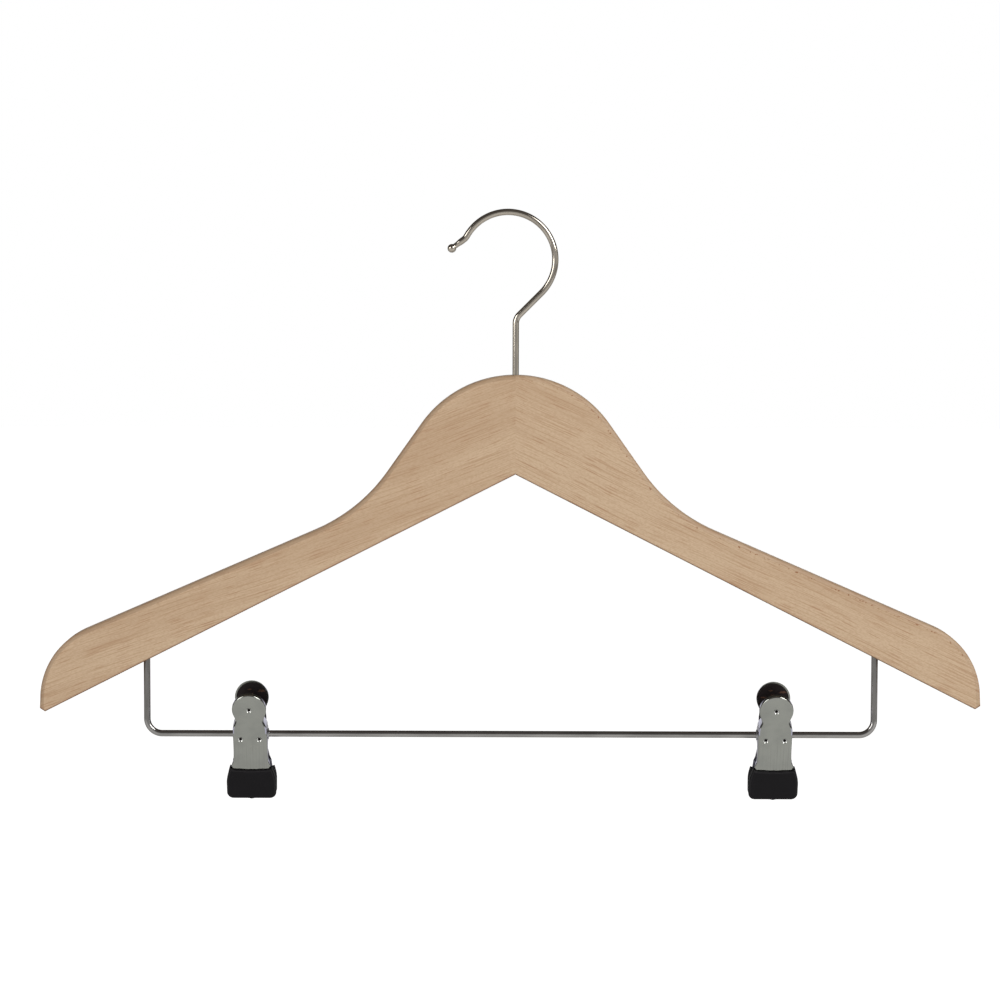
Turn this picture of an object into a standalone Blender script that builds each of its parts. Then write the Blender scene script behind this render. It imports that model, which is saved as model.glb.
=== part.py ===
"""Wooden shirt hanger with a swivel hook, a trouser bar and two sprung trouser clips.

Units are metres and +Z is up.  The origin is the hanging point: the inside of the hook's
crown, on the axis that the wooden body swivels about.  +X runs to the viewer's right and
-Y faces the viewer.
"""
import math

import bmesh
import bpy
from mathutils import Matrix, Vector

# The wooden body: two mitred beech arms, cut from board and glued with comb fingers
ARM_THICKNESS = 0.0120
LEFT_REACH = 0.2277
RIGHT_REACH = 0.2233
DOME_RADIUS = 0.0551
NECK_SLOPE = math.radians(54.7)
NECK_LENGTH = 0.0287
HOLLOW_RADIUS = 0.0814
SHOULDER_SLOPE = math.radians(23.5)
TIP_RADIUS = 0.0367
TIP_CUT_UP = 0.0029
TIP_CUT_IN = 0.0025
MITRE_HEIGHT = 0.0473
UNDERSIDE_SLOPE = math.radians(26.95)
EDGE_ROUND = 0.0021
ARRIS = 0.0004
GLUE_GAP = 0.0002
FINGER_LENGTH = 0.0120
FINGER_INNER = 0.0024
FINGER_OUTER = 0.0041

# The hook: one bent wire with a ball at its tip and an upset head inside the wood
HOOK_WIRE = 0.0031
CROWN_RADIUS = 0.0225
CROWN_OFFSET = 0.0038
CROWN_RISE = 0.0550
HOOK_LEAN = math.radians(45.0)
BEND_RADIUS = 0.0058
TIP_ANGLE = math.radians(150.5)
TIP_TURN_OUT = math.radians(24.0)
TIP_LENGTH = 0.0069
BALL_DIAMETER = 0.0042
TIP_NECK_SHARE = 0.83
TIP_TAPER_START_SHARE = 0.35
TIP_TAPER_END_SHARE = 0.55
HOOK_HEAD_DIAMETER = 0.0052
HOOK_HEAD_THICKNESS = 0.0018
HOOK_HEAD_STEP = 0.0001

# The hook's seat inside the wood
SWIVEL_CLEARANCE = 0.0002
SEAT_GAP = 0.0003
SEAT_DEPTH = 0.0110
SEAT_DIAMETER = 0.0088
WASHER_DIAMETER = 0.0080
WASHER_THICKNESS = 0.0010

# The trouser bar: one wire with two upturned legs that are pressed into the arms
BAR_WIRE = 0.0032
BAR_DROP = 0.1730
LEFT_LEG = 0.1768
RIGHT_LEG = 0.1730
BAR_BEND_RADIUS = 0.0072
LEG_SEAT_DEPTH = 0.0180
LEG_END_GAP = 0.0005

# The trouser clips: two pressed leaves each, on a hollow rivet that slides on the bar
LEFT_CLIP = -0.1269
RIGHT_CLIP = 0.1250
LEAF_SHEET = 0.0008
LEAF_SPREAD = math.radians(10.0)
CLIP_TILT = math.radians(11.0)
HEAD_TOP = 0.0249
HEAD_RADIUS = 0.00815
HEAD_LEAVE = math.radians(-25.0)
NECK_HEIGHT = 0.0115
NECK_HALF_WIDTH = 0.0066
SHOULDER_HEIGHT = 0.0060
BODY_HALF_WIDTH = 0.0081
WAIST_DROP = 0.0105
WAIST_HALF_WIDTH = 0.00825
BOOT_TOP_DROP = 0.0144
FLARE_HALF_WIDTH = 0.0094
JAW_WIDE_DROP = 0.0235
JAW_HALF_WIDTH = 0.0107
JAW_DROP = 0.0301
JAW_CORNER = 0.0024
LEAF_EDGE = 0.0005
HEAD_LIP = 0.0016
BODY_LIP = 0.0013
LIP_END_GAP = 0.0006
SHOULDER_WALL = 0.0050
EAR_RADIUS = 0.0042
EAR_SWING = math.radians(100.0)
WALLED_EAR_SWING = math.radians(75.0)
EAR_CLEARANCE = 0.0003
DIMPLE_RADIUS = 0.0013
DIMPLE_DEPTH = 0.0006
DIMPLE_SPREAD = 0.0045
DIMPLE_HEIGHT = 0.0009
HEAD_DIMPLE_HEIGHT = 0.0168

# The hollow rivet that joins the leaves, and the spring wound round it
RIVET_DIAMETER = 0.0044
RIVET_BORE_CLEARANCE = 0.0002
RIVET_EAR_CLEARANCE = 0.0002
RIVET_FLARE_DIAMETER = 0.0054
RIVET_FLARE_THICKNESS = 0.0003
SPRING_WIRE = 0.0009
SPRING_CLEARANCE = 0.0003
SPRING_PITCH = 0.00150
SPRING_WHOLE_TURNS = 6
SPRING_LEG_HEIGHT = 0.0105
SPRING_SEAT_GAP = 0.0002

# The dipped boots on the jaws
BOOT_WALL = 0.0010
BOOT_POCKET_GAP = 0.0002
BOOT_TOP_HALF_WIDTH = 0.0099
BOOT_WIDE_DROP = 0.0230
BOOT_HALF_WIDTH = 0.0119
REAR_BOOT_LOWERING = 0.0020
BOOT_CORNER = 0.0032
BOOT_END = 0.0012
BOOT_EDGE = 0.0009
JAW_GAP = 0.0003

# How finely round shapes are faceted, and how far a cutter runs past what it cuts
DOME_STEPS = 11
HOLLOW_STEPS = 7
TIP_STEPS = 9
EDGE_STEPS = 3
CROWN_STEPS = 34
BEND_STEPS = 7
BALL_STEPS = 6
HOLE_SIDES = 24
HEAD_STEPS = 10
CORNER_STEPS = 4
EAR_STEPS = 8
CURL_POINTS = 10
TIP_TURN_STEPS = 2
WIRE_RESOLUTION = 4
CURL_RESOLUTION = 1
GAP_SAMPLES = 4
SAME_PLACE = 0.00001
OVERRUN = 0.0020

# Places that follow from the sizes above
DOME_TOP = -(CROWN_RISE + math.sqrt((CROWN_RADIUS - HOOK_WIRE / 2) ** 2 - CROWN_OFFSET ** 2))
CROWN_CENTRE = Vector((-CROWN_OFFSET, 0, DOME_TOP + CROWN_RISE))
MITRE_BOTTOM = DOME_TOP - MITRE_HEIGHT
BAR_LEVEL = DOME_TOP - BAR_DROP
BORE_RADIUS = HOOK_WIRE / 2 + SWIVEL_CLEARANCE
SEAT_LEVEL = MITRE_BOTTOM + SEAT_DEPTH
BOOT_HALF_THICKNESS = LEAF_SHEET / 2 + BOOT_POCKET_GAP + BOOT_WALL
JAW_CONTACT_DROP = JAW_DROP + BOOT_END - BOOT_EDGE
LEAF_OFFSET = (
    JAW_CONTACT_DROP * math.tan(LEAF_SPREAD)
    + BOOT_HALF_THICKNESS
    + JAW_GAP / 2 / math.cos(LEAF_SPREAD)
)
LEAF_FACE = LEAF_OFFSET - LEAF_SHEET / 2
RIVET_HOLE_RADIUS = RIVET_DIAMETER / 2 + RIVET_EAR_CLEARANCE
REAR_NARROWING = LEAF_SHEET + EAR_CLEARANCE
SPRING_RADIUS = RIVET_DIAMETER / 2 + SPRING_CLEARANCE + SPRING_WIRE / 2

BEECH = ("beech", (0.515, 0.366, 0.235), 0.55, 0.0)
NICKEL = ("nickel_plated_wire", (0.62, 0.58, 0.52), 0.16, 1.0)
CHROME = ("chromed_steel", (0.56, 0.57, 0.56), 0.12, 1.0)
STEEL = ("spring_steel", (0.42, 0.42, 0.42), 0.30, 1.0)
VINYL = ("black_vinyl", (0.014, 0.013, 0.014), 0.45, 0.0)


def clear_scene():
    """Remove whatever the scene holds before the model is made."""
    for old in list(bpy.data.objects):
        bpy.data.objects.remove(old, do_unlink=True)


def finish(obj, finish_values):
    """Give an object its own material from a name, a colour, a roughness and a metallic value."""
    name, colour, roughness, metallic = finish_values
    material = bpy.data.materials.new(obj.name + "_" + name)
    material.use_nodes = True
    shader = material.node_tree.nodes["Principled BSDF"]
    shader.inputs["Base Color"].default_value = (*colour, 1.0)
    shader.inputs["Roughness"].default_value = roughness
    shader.inputs["Metallic"].default_value = metallic
    obj.data.materials.append(material)


def mesh_object(name, bm, parent=None):
    """Turn a bmesh into an object with its faces pointing out."""
    bmesh.ops.recalc_face_normals(bm, faces=bm.faces)
    mesh = bpy.data.meshes.new(name)
    bm.to_mesh(mesh)
    bm.free()
    obj = bpy.data.objects.new(name, mesh)
    bpy.context.collection.objects.link(obj)
    obj.parent = parent
    return obj


def loft(name, rings, parent=None):
    """Join equal rings of points into one closed solid, capped at both ends."""
    bm = bmesh.new()
    made = [[bm.verts.new(point) for point in ring] for ring in rings]
    for near, far in zip(made, made[1:]):
        for i in range(len(near)):
            j = (i + 1) % len(near)
            bm.faces.new((near[i], near[j], far[j], far[i]))
    bm.faces.new(made[0])
    bm.faces.new(list(reversed(made[-1])))
    return mesh_object(name, bm, parent)


def prism(name, outline, axis, start, end, parent=None):
    """Extrude a flat outline along one axis; the outline holds the other two coordinates."""
    def place(point, depth):
        values = list(point)
        values.insert(axis, depth)
        return Vector(values)

    return loft(name, [[place(p, depth) for p in outline] for depth in (start, end)], parent)


def circle(centre, radius, sides):
    """Points of a regular polygon round a centre, in two coordinates."""
    turns = [2 * math.pi * i / sides for i in range(sides)]
    return [(centre[0] + radius * math.cos(a), centre[1] + radius * math.sin(a)) for a in turns]


def cut(target, cutter, operation="DIFFERENCE"):
    """Add an exact Boolean, and keep its other solid out of the model."""
    modifier = target.modifiers.new(cutter.name, "BOOLEAN")
    modifier.operation = operation
    modifier.solver = "EXACT"
    modifier.object = cutter
    cutter.hide_render = True
    cutter.display_type = "WIRE"


def weld(target):
    """Merge corners that lie in one place, where a cut runs close beside an old corner."""
    modifier = target.modifiers.new("weld", "WELD")
    modifier.merge_threshold = SAME_PLACE


def wire(name, points, diameter, bevel_resolution, widths=None, parent=None):
    """A round wire along points, as a bevelled curve; widths share the diameter point by point."""
    curve = bpy.data.curves.new(name, "CURVE")
    curve.dimensions = "3D"
    curve.bevel_depth = diameter / 2
    curve.bevel_resolution = bevel_resolution
    curve.use_fill_caps = True
    spline = curve.splines.new("POLY")
    spline.points.add(len(points) - 1)
    for i, (target, point) in enumerate(zip(spline.points, points)):
        target.co = (*point, 1)
        target.radius = widths[i] if widths else 1
    obj = bpy.data.objects.new(name, curve)
    bpy.context.collection.objects.link(obj)
    obj.parent = parent
    return obj


def arc(centre, radius, start, end, steps):
    """Points of an arc in X and Z, with angles measured from +X towards +Z."""
    angles = [start + (end - start) * i / steps for i in range(steps + 1)]
    return [centre + radius * Vector((math.cos(a), 0, math.sin(a))) for a in angles]


def shoulder_points(reach):
    """Upper outline of one arm from the dome to the tip: distance out, height, and edge normal."""
    points = []
    for i in range(DOME_STEPS + 1):
        a = NECK_SLOPE * i / DOME_STEPS
        points.append((DOME_RADIUS * math.sin(a), DOME_RADIUS * (math.cos(a) - 1), a))
    hollow_x = points[-1][0] + NECK_LENGTH * math.cos(NECK_SLOPE)
    hollow_z = points[-1][1] - NECK_LENGTH * math.sin(NECK_SLOPE)
    centre_x = hollow_x + HOLLOW_RADIUS * math.sin(NECK_SLOPE)
    centre_z = hollow_z + HOLLOW_RADIUS * math.cos(NECK_SLOPE)
    for i in range(HOLLOW_STEPS + 1):
        a = NECK_SLOPE + (SHOULDER_SLOPE - NECK_SLOPE) * i / HOLLOW_STEPS
        points.append((centre_x - HOLLOW_RADIUS * math.sin(a), centre_z - HOLLOW_RADIUS * math.cos(a), a))
    tip_x = reach - TIP_RADIUS
    start_x = tip_x + TIP_RADIUS * math.sin(SHOULDER_SLOPE)
    start_z = points[-1][1] - (start_x - points[-1][0]) * math.tan(SHOULDER_SLOPE)
    tip_z = start_z - TIP_RADIUS * math.cos(SHOULDER_SLOPE)
    for i in range(TIP_STEPS + 1):
        a = SHOULDER_SLOPE + (math.pi / 2 - SHOULDER_SLOPE) * i / TIP_STEPS
        points.append((tip_x + TIP_RADIUS * math.sin(a), tip_z + TIP_RADIUS * math.cos(a), a))
    return points


def underside(x):
    """Height of the arms' straight lower edge at a distance from the swivel axis."""
    return MITRE_BOTTOM - abs(x) * math.tan(UNDERSIDE_SLOPE)


def arm_outline(reach, side):
    """Outline of one arm from dome to V: each point with its inward direction and edge radius."""
    outline = []
    for x, z, a in shoulder_points(reach):
        inward = Vector((-side * math.sin(a), 0, -math.cos(a)))
        outline.append((Vector((side * x, 0, DOME_TOP + z)), inward, EDGE_ROUND))
    corner = underside(reach)
    cut_inward = Vector((-side * TIP_CUT_UP, 0, TIP_CUT_IN)).normalized()
    outline.append((Vector((side * reach, 0, corner + TIP_CUT_UP)), cut_inward, ARRIS))
    inner_x = reach - TIP_CUT_IN
    outline.append((Vector((side * inner_x, 0, underside(inner_x))), cut_inward, ARRIS))
    return outline


def body_rings():
    """Rings of the whole wooden body from its front face to its back face."""
    right = arm_outline(RIGHT_REACH, 1)
    left = arm_outline(LEFT_REACH, -1)
    apex = (Vector((0, 0, MITRE_BOTTOM)), Vector((0, 0, 1)), ARRIS)
    loop = right + [apex] + list(reversed(left[1:]))
    rings = []
    for side in (-1, 1):
        half = []
        for i in range(EDGE_STEPS + 1):
            a = math.pi / 2 * i / EDGE_STEPS
            half.append([edge_point(entry, a, side) for entry in loop])
        rings += half if side < 0 else list(reversed(half))
    return rings


def edge_point(entry, angle, side):
    """One outline point moved in and back, round the edge between a face and the outline."""
    point, inward, radius = entry
    moved = point + inward * radius * (1 - math.sin(angle))
    moved.y = side * (ARM_THICKNESS / 2 - radius * (1 - math.cos(angle)))
    return moved


def comb_cutter(name, side):
    """What is removed from the whole body to leave one arm, with its finger and its slot."""
    near = GLUE_GAP / 2
    wide = ARM_THICKNESS
    far = max(LEFT_REACH, RIGHT_REACH) + OVERRUN
    slot = FINGER_LENGTH + GLUE_GAP
    profile = [
        (-near, -wide),
        (-near, -FINGER_OUTER),
        (FINGER_LENGTH, -FINGER_OUTER),
        (FINGER_LENGTH, -FINGER_INNER),
        (-near, -FINGER_INNER),
        (-near, FINGER_INNER - GLUE_GAP),
        (-slot, FINGER_INNER - GLUE_GAP),
        (-slot, FINGER_OUTER + GLUE_GAP),
        (-near, FINGER_OUTER + GLUE_GAP),
        (-near, wide),
        (far, wide),
        (far, -wide),
    ]
    turned = [(-side * x, -side * y) for x, y in profile]
    bottom = underside(far) - OVERRUN
    return prism(name, turned, 2, bottom, DOME_TOP + OVERRUN)


def turned_cutter(name, profile):
    """A solid of revolution about the swivel axis from radius and height pairs, bottom first."""
    rings = []
    for radius, z in profile:
        rings.append([Vector((x, y, z)) for x, y in circle((0, 0), radius, HOLE_SIDES)])
    return loft(name, rings)


def make_arms():
    """The two arms: one body split by the comb joint, with the bores for hook and bar."""
    seat = SEAT_DIAMETER / 2
    bore_profile = [
        (seat, MITRE_BOTTOM - SEAT_DEPTH),
        (seat, SEAT_LEVEL),
        (BORE_RADIUS, SEAT_LEVEL),
        (BORE_RADIUS, DOME_TOP + OVERRUN),
    ]
    hook_bore = turned_cutter("hook_bore_cutter", bore_profile)
    leg_places = {-1: LEFT_LEG, 1: RIGHT_LEG}
    for side, name in ((-1, "left_arm"), (1, "right_arm")):
        arm = loft(name, body_rings())
        finish(arm, BEECH)
        cut(arm, comb_cutter(name + "_comb_cutter", side))
        cut(arm, hook_bore)
        leg = side * leg_places[side]
        outline = circle((leg, 0), BAR_WIRE / 2 + GLUE_GAP, HOLE_SIDES // 2)
        start = underside(leg) - BAR_WIRE - OVERRUN
        end = underside(leg) + LEG_SEAT_DEPTH
        cut(arm, prism(name + "_leg_cutter", outline, 2, start, end))
        weld(arm)


def hook_path():
    """Centre line of the hook from its head in the wood to its tip, with a width share a point."""
    head_top = SEAT_LEVEL - SEAT_GAP - WASHER_THICKNESS - SEAT_GAP
    head_share = HOOK_HEAD_DIAMETER / HOOK_WIRE
    points = [Vector((0, 0, head_top - z)) for z in (HOOK_HEAD_THICKNESS, HOOK_HEAD_STEP, 0)]
    widths = [head_share, head_share, 1]
    crown = arc(CROWN_CENTRE, CROWN_RADIUS, -HOOK_LEAN, TIP_ANGLE, CROWN_STEPS)
    run = (crown[0].x - BEND_RADIUS * (1 - math.cos(HOOK_LEAN))) / math.tan(HOOK_LEAN)
    bend_level = crown[0].z - run - BEND_RADIUS * math.sin(HOOK_LEAN)
    bend_centre = Vector((BEND_RADIUS, 0, bend_level))
    points += arc(bend_centre, BEND_RADIUS, math.pi, math.pi - HOOK_LEAN, BEND_STEPS)
    points += crown
    widths += [1] * (len(points) - len(widths))
    tip_points, tip_widths = hook_tip(crown[-1])
    return points + tip_points, widths + tip_widths


def hook_tip(start):
    """The hook's end: a slight bend outwards, a narrowed neck and a ball."""
    outward = (start - CROWN_CENTRE).normalized()
    centre = start + BEND_RADIUS * outward
    back = TIP_ANGLE + math.pi
    points = arc(centre, BEND_RADIUS, back, back - TIP_TURN_OUT, TIP_TURN_STEPS)[1:]
    heading = TIP_ANGLE + math.pi / 2 - TIP_TURN_OUT
    forward = Vector((math.cos(heading), 0, math.sin(heading)))
    ball = points[-1] + TIP_LENGTH * forward
    ball_radius = BALL_DIAMETER / 2
    neck = math.asin(TIP_NECK_SHARE * HOOK_WIRE / BALL_DIAMETER)
    widths = [1] * TIP_TURN_STEPS
    for share, width in ((TIP_TAPER_START_SHARE, 1), (TIP_TAPER_END_SHARE, TIP_NECK_SHARE)):
        points.append(ball - (1 - share) * TIP_LENGTH * forward)
        widths.append(width)
    for i in range(BALL_STEPS):
        a = neck + (math.pi - neck) * i / BALL_STEPS
        points.append(ball - ball_radius * math.cos(a) * forward)
        widths.append(ball_radius * math.sin(a) / (HOOK_WIRE / 2))
    return points, widths


def make_hook():
    """The swivel hook and the washer that the wood rests on."""
    points, widths = hook_path()
    finish(wire("hook", points, HOOK_WIRE, WIRE_RESOLUTION, widths), NICKEL)
    top = SEAT_LEVEL - SEAT_GAP
    bottom = top - WASHER_THICKNESS
    inner = BORE_RADIUS
    outer = WASHER_DIAMETER / 2
    profile = [(inner, bottom), (outer, bottom), (outer, top), (inner, top)]
    finish(turned_ring("hook_washer", profile, 2), STEEL)


def turned_ring(name, profile, axis, parent=None):
    """Turn a closed profile of radius and height pairs about X (axis 0) or Z (axis 2)."""
    bm = bmesh.new()
    rings = []
    for radius, height in profile:
        ring = []
        for values in circle((0, 0), radius, HOLE_SIDES):
            values = list(values)
            values.insert(axis, height)
            ring.append(bm.verts.new(values))
        rings.append(ring)
    for i, ring in enumerate(rings):
        following = rings[(i + 1) % len(rings)]
        for j in range(HOLE_SIDES):
            k = (j + 1) % HOLE_SIDES
            bm.faces.new((ring[j], ring[k], following[k], following[j]))
    return mesh_object(name, bm, parent)


def make_trouser_bar():
    """The bar and its two upturned legs, one wire from end to end."""
    leg_tops = [underside(x) + LEG_SEAT_DEPTH - LEG_END_GAP for x in (LEFT_LEG, RIGHT_LEG)]
    level = BAR_LEVEL + BAR_BEND_RADIUS
    left = Vector((BAR_BEND_RADIUS - LEFT_LEG, 0, level))
    right = Vector((RIGHT_LEG - BAR_BEND_RADIUS, 0, level))
    points = [Vector((-LEFT_LEG, 0, leg_tops[0]))]
    points += arc(left, BAR_BEND_RADIUS, math.pi, 1.5 * math.pi, BEND_STEPS)
    points += arc(right, BAR_BEND_RADIUS, 1.5 * math.pi, 2 * math.pi, BEND_STEPS)
    points.append(Vector((RIGHT_LEG, 0, leg_tops[1])))
    finish(wire("trouser_bar", points, BAR_WIRE, WIRE_RESOLUTION), CHROME)


def blend(start, end, steps):
    """Points from one half width and height to another, leaving and arriving upright."""
    points = []
    for i in range(1, steps + 1):
        share = (1 - math.cos(math.pi * i / steps)) / 2
        rise = i / steps
        points.append((start[0] + (end[0] - start[0]) * share, start[1] + (end[1] - start[1]) * rise))
    return points


def leaf_half(inset, narrowing):
    """Right half of a leaf's outline, top to bottom: half width and height along the leaf."""
    radius = HEAD_RADIUS - inset
    centre = HEAD_TOP - HEAD_RADIUS
    half = []
    for i in range(HEAD_STEPS + 1):
        a = math.pi / 2 + (HEAD_LEAVE - math.pi / 2) * i / HEAD_STEPS
        half.append((radius * math.cos(a), centre + radius * math.sin(a)))
    body = BODY_HALF_WIDTH - narrowing - inset
    half.append((min(NECK_HALF_WIDTH - inset, body), NECK_HEIGHT))
    half += blend(half[-1], (body, SHOULDER_HEIGHT), CORNER_STEPS)
    half.append((body, -SHOULDER_HEIGHT))
    half.append((WAIST_HALF_WIDTH - inset, -WAIST_DROP))
    half += blend(half[-1], (FLARE_HALF_WIDTH - inset, -BOOT_TOP_DROP), CORNER_STEPS)
    half.append((JAW_HALF_WIDTH - inset, -JAW_WIDE_DROP))
    return half


def rounded_bottom(half_width, bottom, radius):
    """Points of a lower right corner with a radius, from its side to its bottom edge."""
    points = []
    for i in range(CORNER_STEPS + 1):
        a = math.pi / 2 * i / CORNER_STEPS
        points.append((half_width - radius * (1 - math.cos(a)), bottom + radius * (1 - math.sin(a))))
    return points


def mirrored(half):
    """Close a right half outline with its mirror image; a point on the middle is not doubled."""
    return half + [(-x, z) for x, z in reversed(half) if x > SAME_PLACE]


def leaf_outline(inset, narrowing):
    """Whole outline of a leaf, moved in by an inset."""
    half = leaf_half(inset, narrowing)
    bottom = inset - JAW_DROP
    half += rounded_bottom(JAW_HALF_WIDTH - inset, bottom, JAW_CORNER - inset)
    return mirrored(half)


def back_profile(ear_top, ear_swing):
    """Side view of what is cut away behind a leaf: it leaves the lips and the pierced ears."""
    behind = LEAF_OFFSET + EAR_RADIUS
    head_lip = HEAD_LIP - LEAF_FACE
    body_lip = BODY_LIP - LEAF_FACE
    lip_end = LIP_END_GAP - BOOT_TOP_DROP
    top = HEAD_TOP + OVERRUN
    bottom = -JAW_DROP - OVERRUN
    points = [(behind, bottom), (behind, top), (head_lip, top), (body_lip, NECK_HEIGHT), ear_top]
    for i in range(EAR_STEPS + 1):
        a = ear_swing - (ear_swing + EAR_SWING) * i / EAR_STEPS
        points.append((EAR_RADIUS * math.cos(a), EAR_RADIUS * math.sin(a)))
    points += [(body_lip, lip_end + BODY_LIP), (-LEAF_FACE, lip_end), (-LEAF_FACE, bottom)]
    return points


def front_back_profile():
    """The front leaf's side view: its walls run deep from the neck to the ears."""
    return back_profile((SHOULDER_WALL - LEAF_FACE, NECK_HEIGHT), WALLED_EAR_SWING)


def rear_back_profile():
    """The rear leaf's side view: low walls, which leave room for the front ones as the clip opens."""
    return back_profile((BODY_LIP - LEAF_FACE, SHOULDER_HEIGHT + BODY_LIP), EAR_SWING)


def make_leaf(name, narrowing, profile, parent):
    """One pressed leaf: a shallow pan with lips, pierced ears and three small dimples."""
    outer = -LEAF_OFFSET - LEAF_SHEET / 2
    layers = ((LEAF_EDGE, outer), (0, outer + LEAF_EDGE), (0, EAR_RADIUS + OVERRUN))
    rings = []
    for inset, y in layers:
        rings.append([Vector((x, y, z)) for x, z in leaf_outline(inset, narrowing)])
    leaf = loft(name, rings, parent)
    finish(leaf, CHROME)
    wide = JAW_HALF_WIDTH + OVERRUN
    cut(leaf, prism(name + "_back_cutter", profile, 0, -wide, wide, parent))
    hollow = leaf_half(LEAF_SHEET, narrowing)
    hollow.append((hollow[-1][0], -JAW_DROP - OVERRUN))
    far = EAR_RADIUS + 2 * OVERRUN
    cut(leaf, prism(name + "_hollow_cutter", mirrored(hollow), 1, -LEAF_FACE, far, parent))
    hole = circle((0, 0), RIVET_HOLE_RADIUS, HOLE_SIDES)
    cut(leaf, prism(name + "_rivet_cutter", hole, 0, -wide, wide, parent))
    places = [(0, HEAD_DIMPLE_HEIGHT), (-DIMPLE_SPREAD, DIMPLE_HEIGHT), (DIMPLE_SPREAD, DIMPLE_HEIGHT)]
    for i, place in enumerate(places):
        cut(leaf, dimple_cutter(f"{name}_dimple_cutter_{i}", place, outer, parent))


def dimple_cutter(name, place, outer, parent):
    """A blunt cone that sinks into a leaf's outer face."""
    slope = DIMPLE_RADIUS / DIMPLE_DEPTH / 2
    rings = []
    for depth in (-DIMPLE_DEPTH / 2, DIMPLE_DEPTH):
        points = circle(place, DIMPLE_RADIUS - depth * slope, HOLE_SIDES // 2)
        rings.append([Vector((x, outer + depth, z)) for x, z in points])
    return loft(name, rings, parent)


def boot_outline(inset, lowering):
    """Outline of a dipped boot: it widens from its open top and has rounded lower corners."""
    fall = BOOT_WIDE_DROP - BOOT_TOP_DROP
    widening = BOOT_HALF_WIDTH - BOOT_TOP_HALF_WIDTH
    half = []
    for i in range(CORNER_STEPS + 1):
        step_share = i / CORNER_STEPS
        fall_share = lowering / fall + (1 - lowering / fall) * step_share
        half_width = BOOT_TOP_HALF_WIDTH + widening * math.sin(fall_share * math.pi / 2)
        drop = BOOT_TOP_DROP + fall * fall_share + inset * (1 - step_share)
        half.append((half_width - inset, -drop))
    bottom = inset - JAW_DROP - BOOT_END
    half += rounded_bottom(BOOT_HALF_WIDTH - inset, bottom, BOOT_CORNER - inset)
    return mirrored(half)


def make_boot(name, lowering, parent):
    """A vinyl boot with a pocket that fits over the end of a jaw."""
    rings = []
    for side in (-1, 1):
        half = []
        for i in range(EDGE_STEPS + 1):
            a = math.pi / 2 * i / EDGE_STEPS
            inset = BOOT_EDGE * (1 - math.sin(a))
            y = -LEAF_OFFSET + side * (BOOT_HALF_THICKNESS - BOOT_EDGE * (1 - math.cos(a)))
            half.append([Vector((x, y, z)) for x, z in boot_outline(inset, lowering)])
        rings += half if side < 0 else list(reversed(half))
    boot = loft(name, rings, parent)
    finish(boot, VINYL)
    near = -LEAF_OFFSET - LEAF_SHEET / 2 - BOOT_POCKET_GAP
    far = -LEAF_OFFSET + LEAF_SHEET / 2 + BOOT_POCKET_GAP
    outline = leaf_outline(-BOOT_POCKET_GAP, 0)
    cut(boot, prism(name + "_pocket_cutter", outline, 1, near, far, parent))


def make_rivet(name, parent):
    """The hollow rivet: a tube on the bar with its ends flared outside the front leaf's ears."""
    inner = BAR_WIRE / 2 + RIVET_BORE_CLEARANCE
    outer = RIVET_DIAMETER / 2
    flare = RIVET_FLARE_DIAMETER / 2
    seat = BODY_HALF_WIDTH + RIVET_EAR_CLEARANCE
    end = seat + RIVET_FLARE_THICKNESS
    half = [(inner, end), (flare, end), (flare, seat), (outer, seat)]
    profile = half + [(radius, -x) for radius, x in reversed(half)]
    finish(turned_ring(name, profile, 0, parent), CHROME)


def spring_path():
    """Centre line of the torsion spring: front leg, coil round the rivet, rear leg."""
    reach = LEAF_FACE - SPRING_WIRE / 2 - SPRING_SEAT_GAP
    front = Matrix.Rotation(LEAF_SPREAD, 3, "X") @ Vector((0, -reach, SPRING_LEG_HEIGHT))
    swing = math.acos(SPRING_RADIUS / math.hypot(front.y, front.z))
    first = math.atan2(front.z, front.y) + swing
    last = math.atan2(front.z, -front.y) - swing + 2 * math.pi * (SPRING_WHOLE_TURNS + 1)
    turns = (last - first) / (2 * math.pi)
    half_length = turns * SPRING_PITCH / 2
    steps = math.ceil(turns * CURL_POINTS)
    points = [Vector((-half_length, front.y, front.z))]
    for i in range(steps + 1):
        a = first + (last - first) * i / steps
        x = half_length * (2 * i / steps - 1)
        points.append(Vector((x, SPRING_RADIUS * math.cos(a), SPRING_RADIUS * math.sin(a))))
    points.append(Vector((half_length, -front.y, front.z)))
    return points


def least_gap(points, diameter, apart):
    """Least clear distance between two stretches of one wire that lie some points apart."""
    dense = []
    for start, end in zip(points[1:-2], points[2:-1]):
        dense += [start.lerp(end, i / GAP_SAMPLES) for i in range(GAP_SAMPLES)]
    distances = []
    for i, point in enumerate(dense):
        distances += [(point - other).length for other in dense[i + GAP_SAMPLES * apart:]]
    return min(distances) - diameter


def make_clip(side, place):
    """One trouser clip: rivet, two leaves, two boots and a torsion spring."""
    clip = bpy.data.objects.new(side + "_clip", None)
    clip.location = (place, 0, BAR_LEVEL)
    clip.rotation_euler = (CLIP_TILT, 0, 0)
    bpy.context.collection.objects.link(clip)
    make_rivet(side + "_pivot_rivet", clip)
    spring = wire(side + "_torsion_spring", spring_path(), SPRING_WIRE, CURL_RESOLUTION, parent=clip)
    finish(spring, STEEL)
    leaves = (
        ("front", 0, 0, front_back_profile(), 0),
        ("rear", math.pi, REAR_NARROWING, rear_back_profile(), REAR_BOOT_LOWERING),
    )
    for leaf, turn, narrowing, profile, lowering in leaves:
        frame = bpy.data.objects.new(f"{side}_{leaf}_leaf_frame", None)
        frame.rotation_euler = (LEAF_SPREAD, 0, turn)
        frame.parent = clip
        bpy.context.collection.objects.link(frame)
        make_leaf(f"{side}_{leaf}_jaw", narrowing, profile, frame)
        make_boot(f"{side}_{leaf}_boot", lowering, frame)


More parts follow.
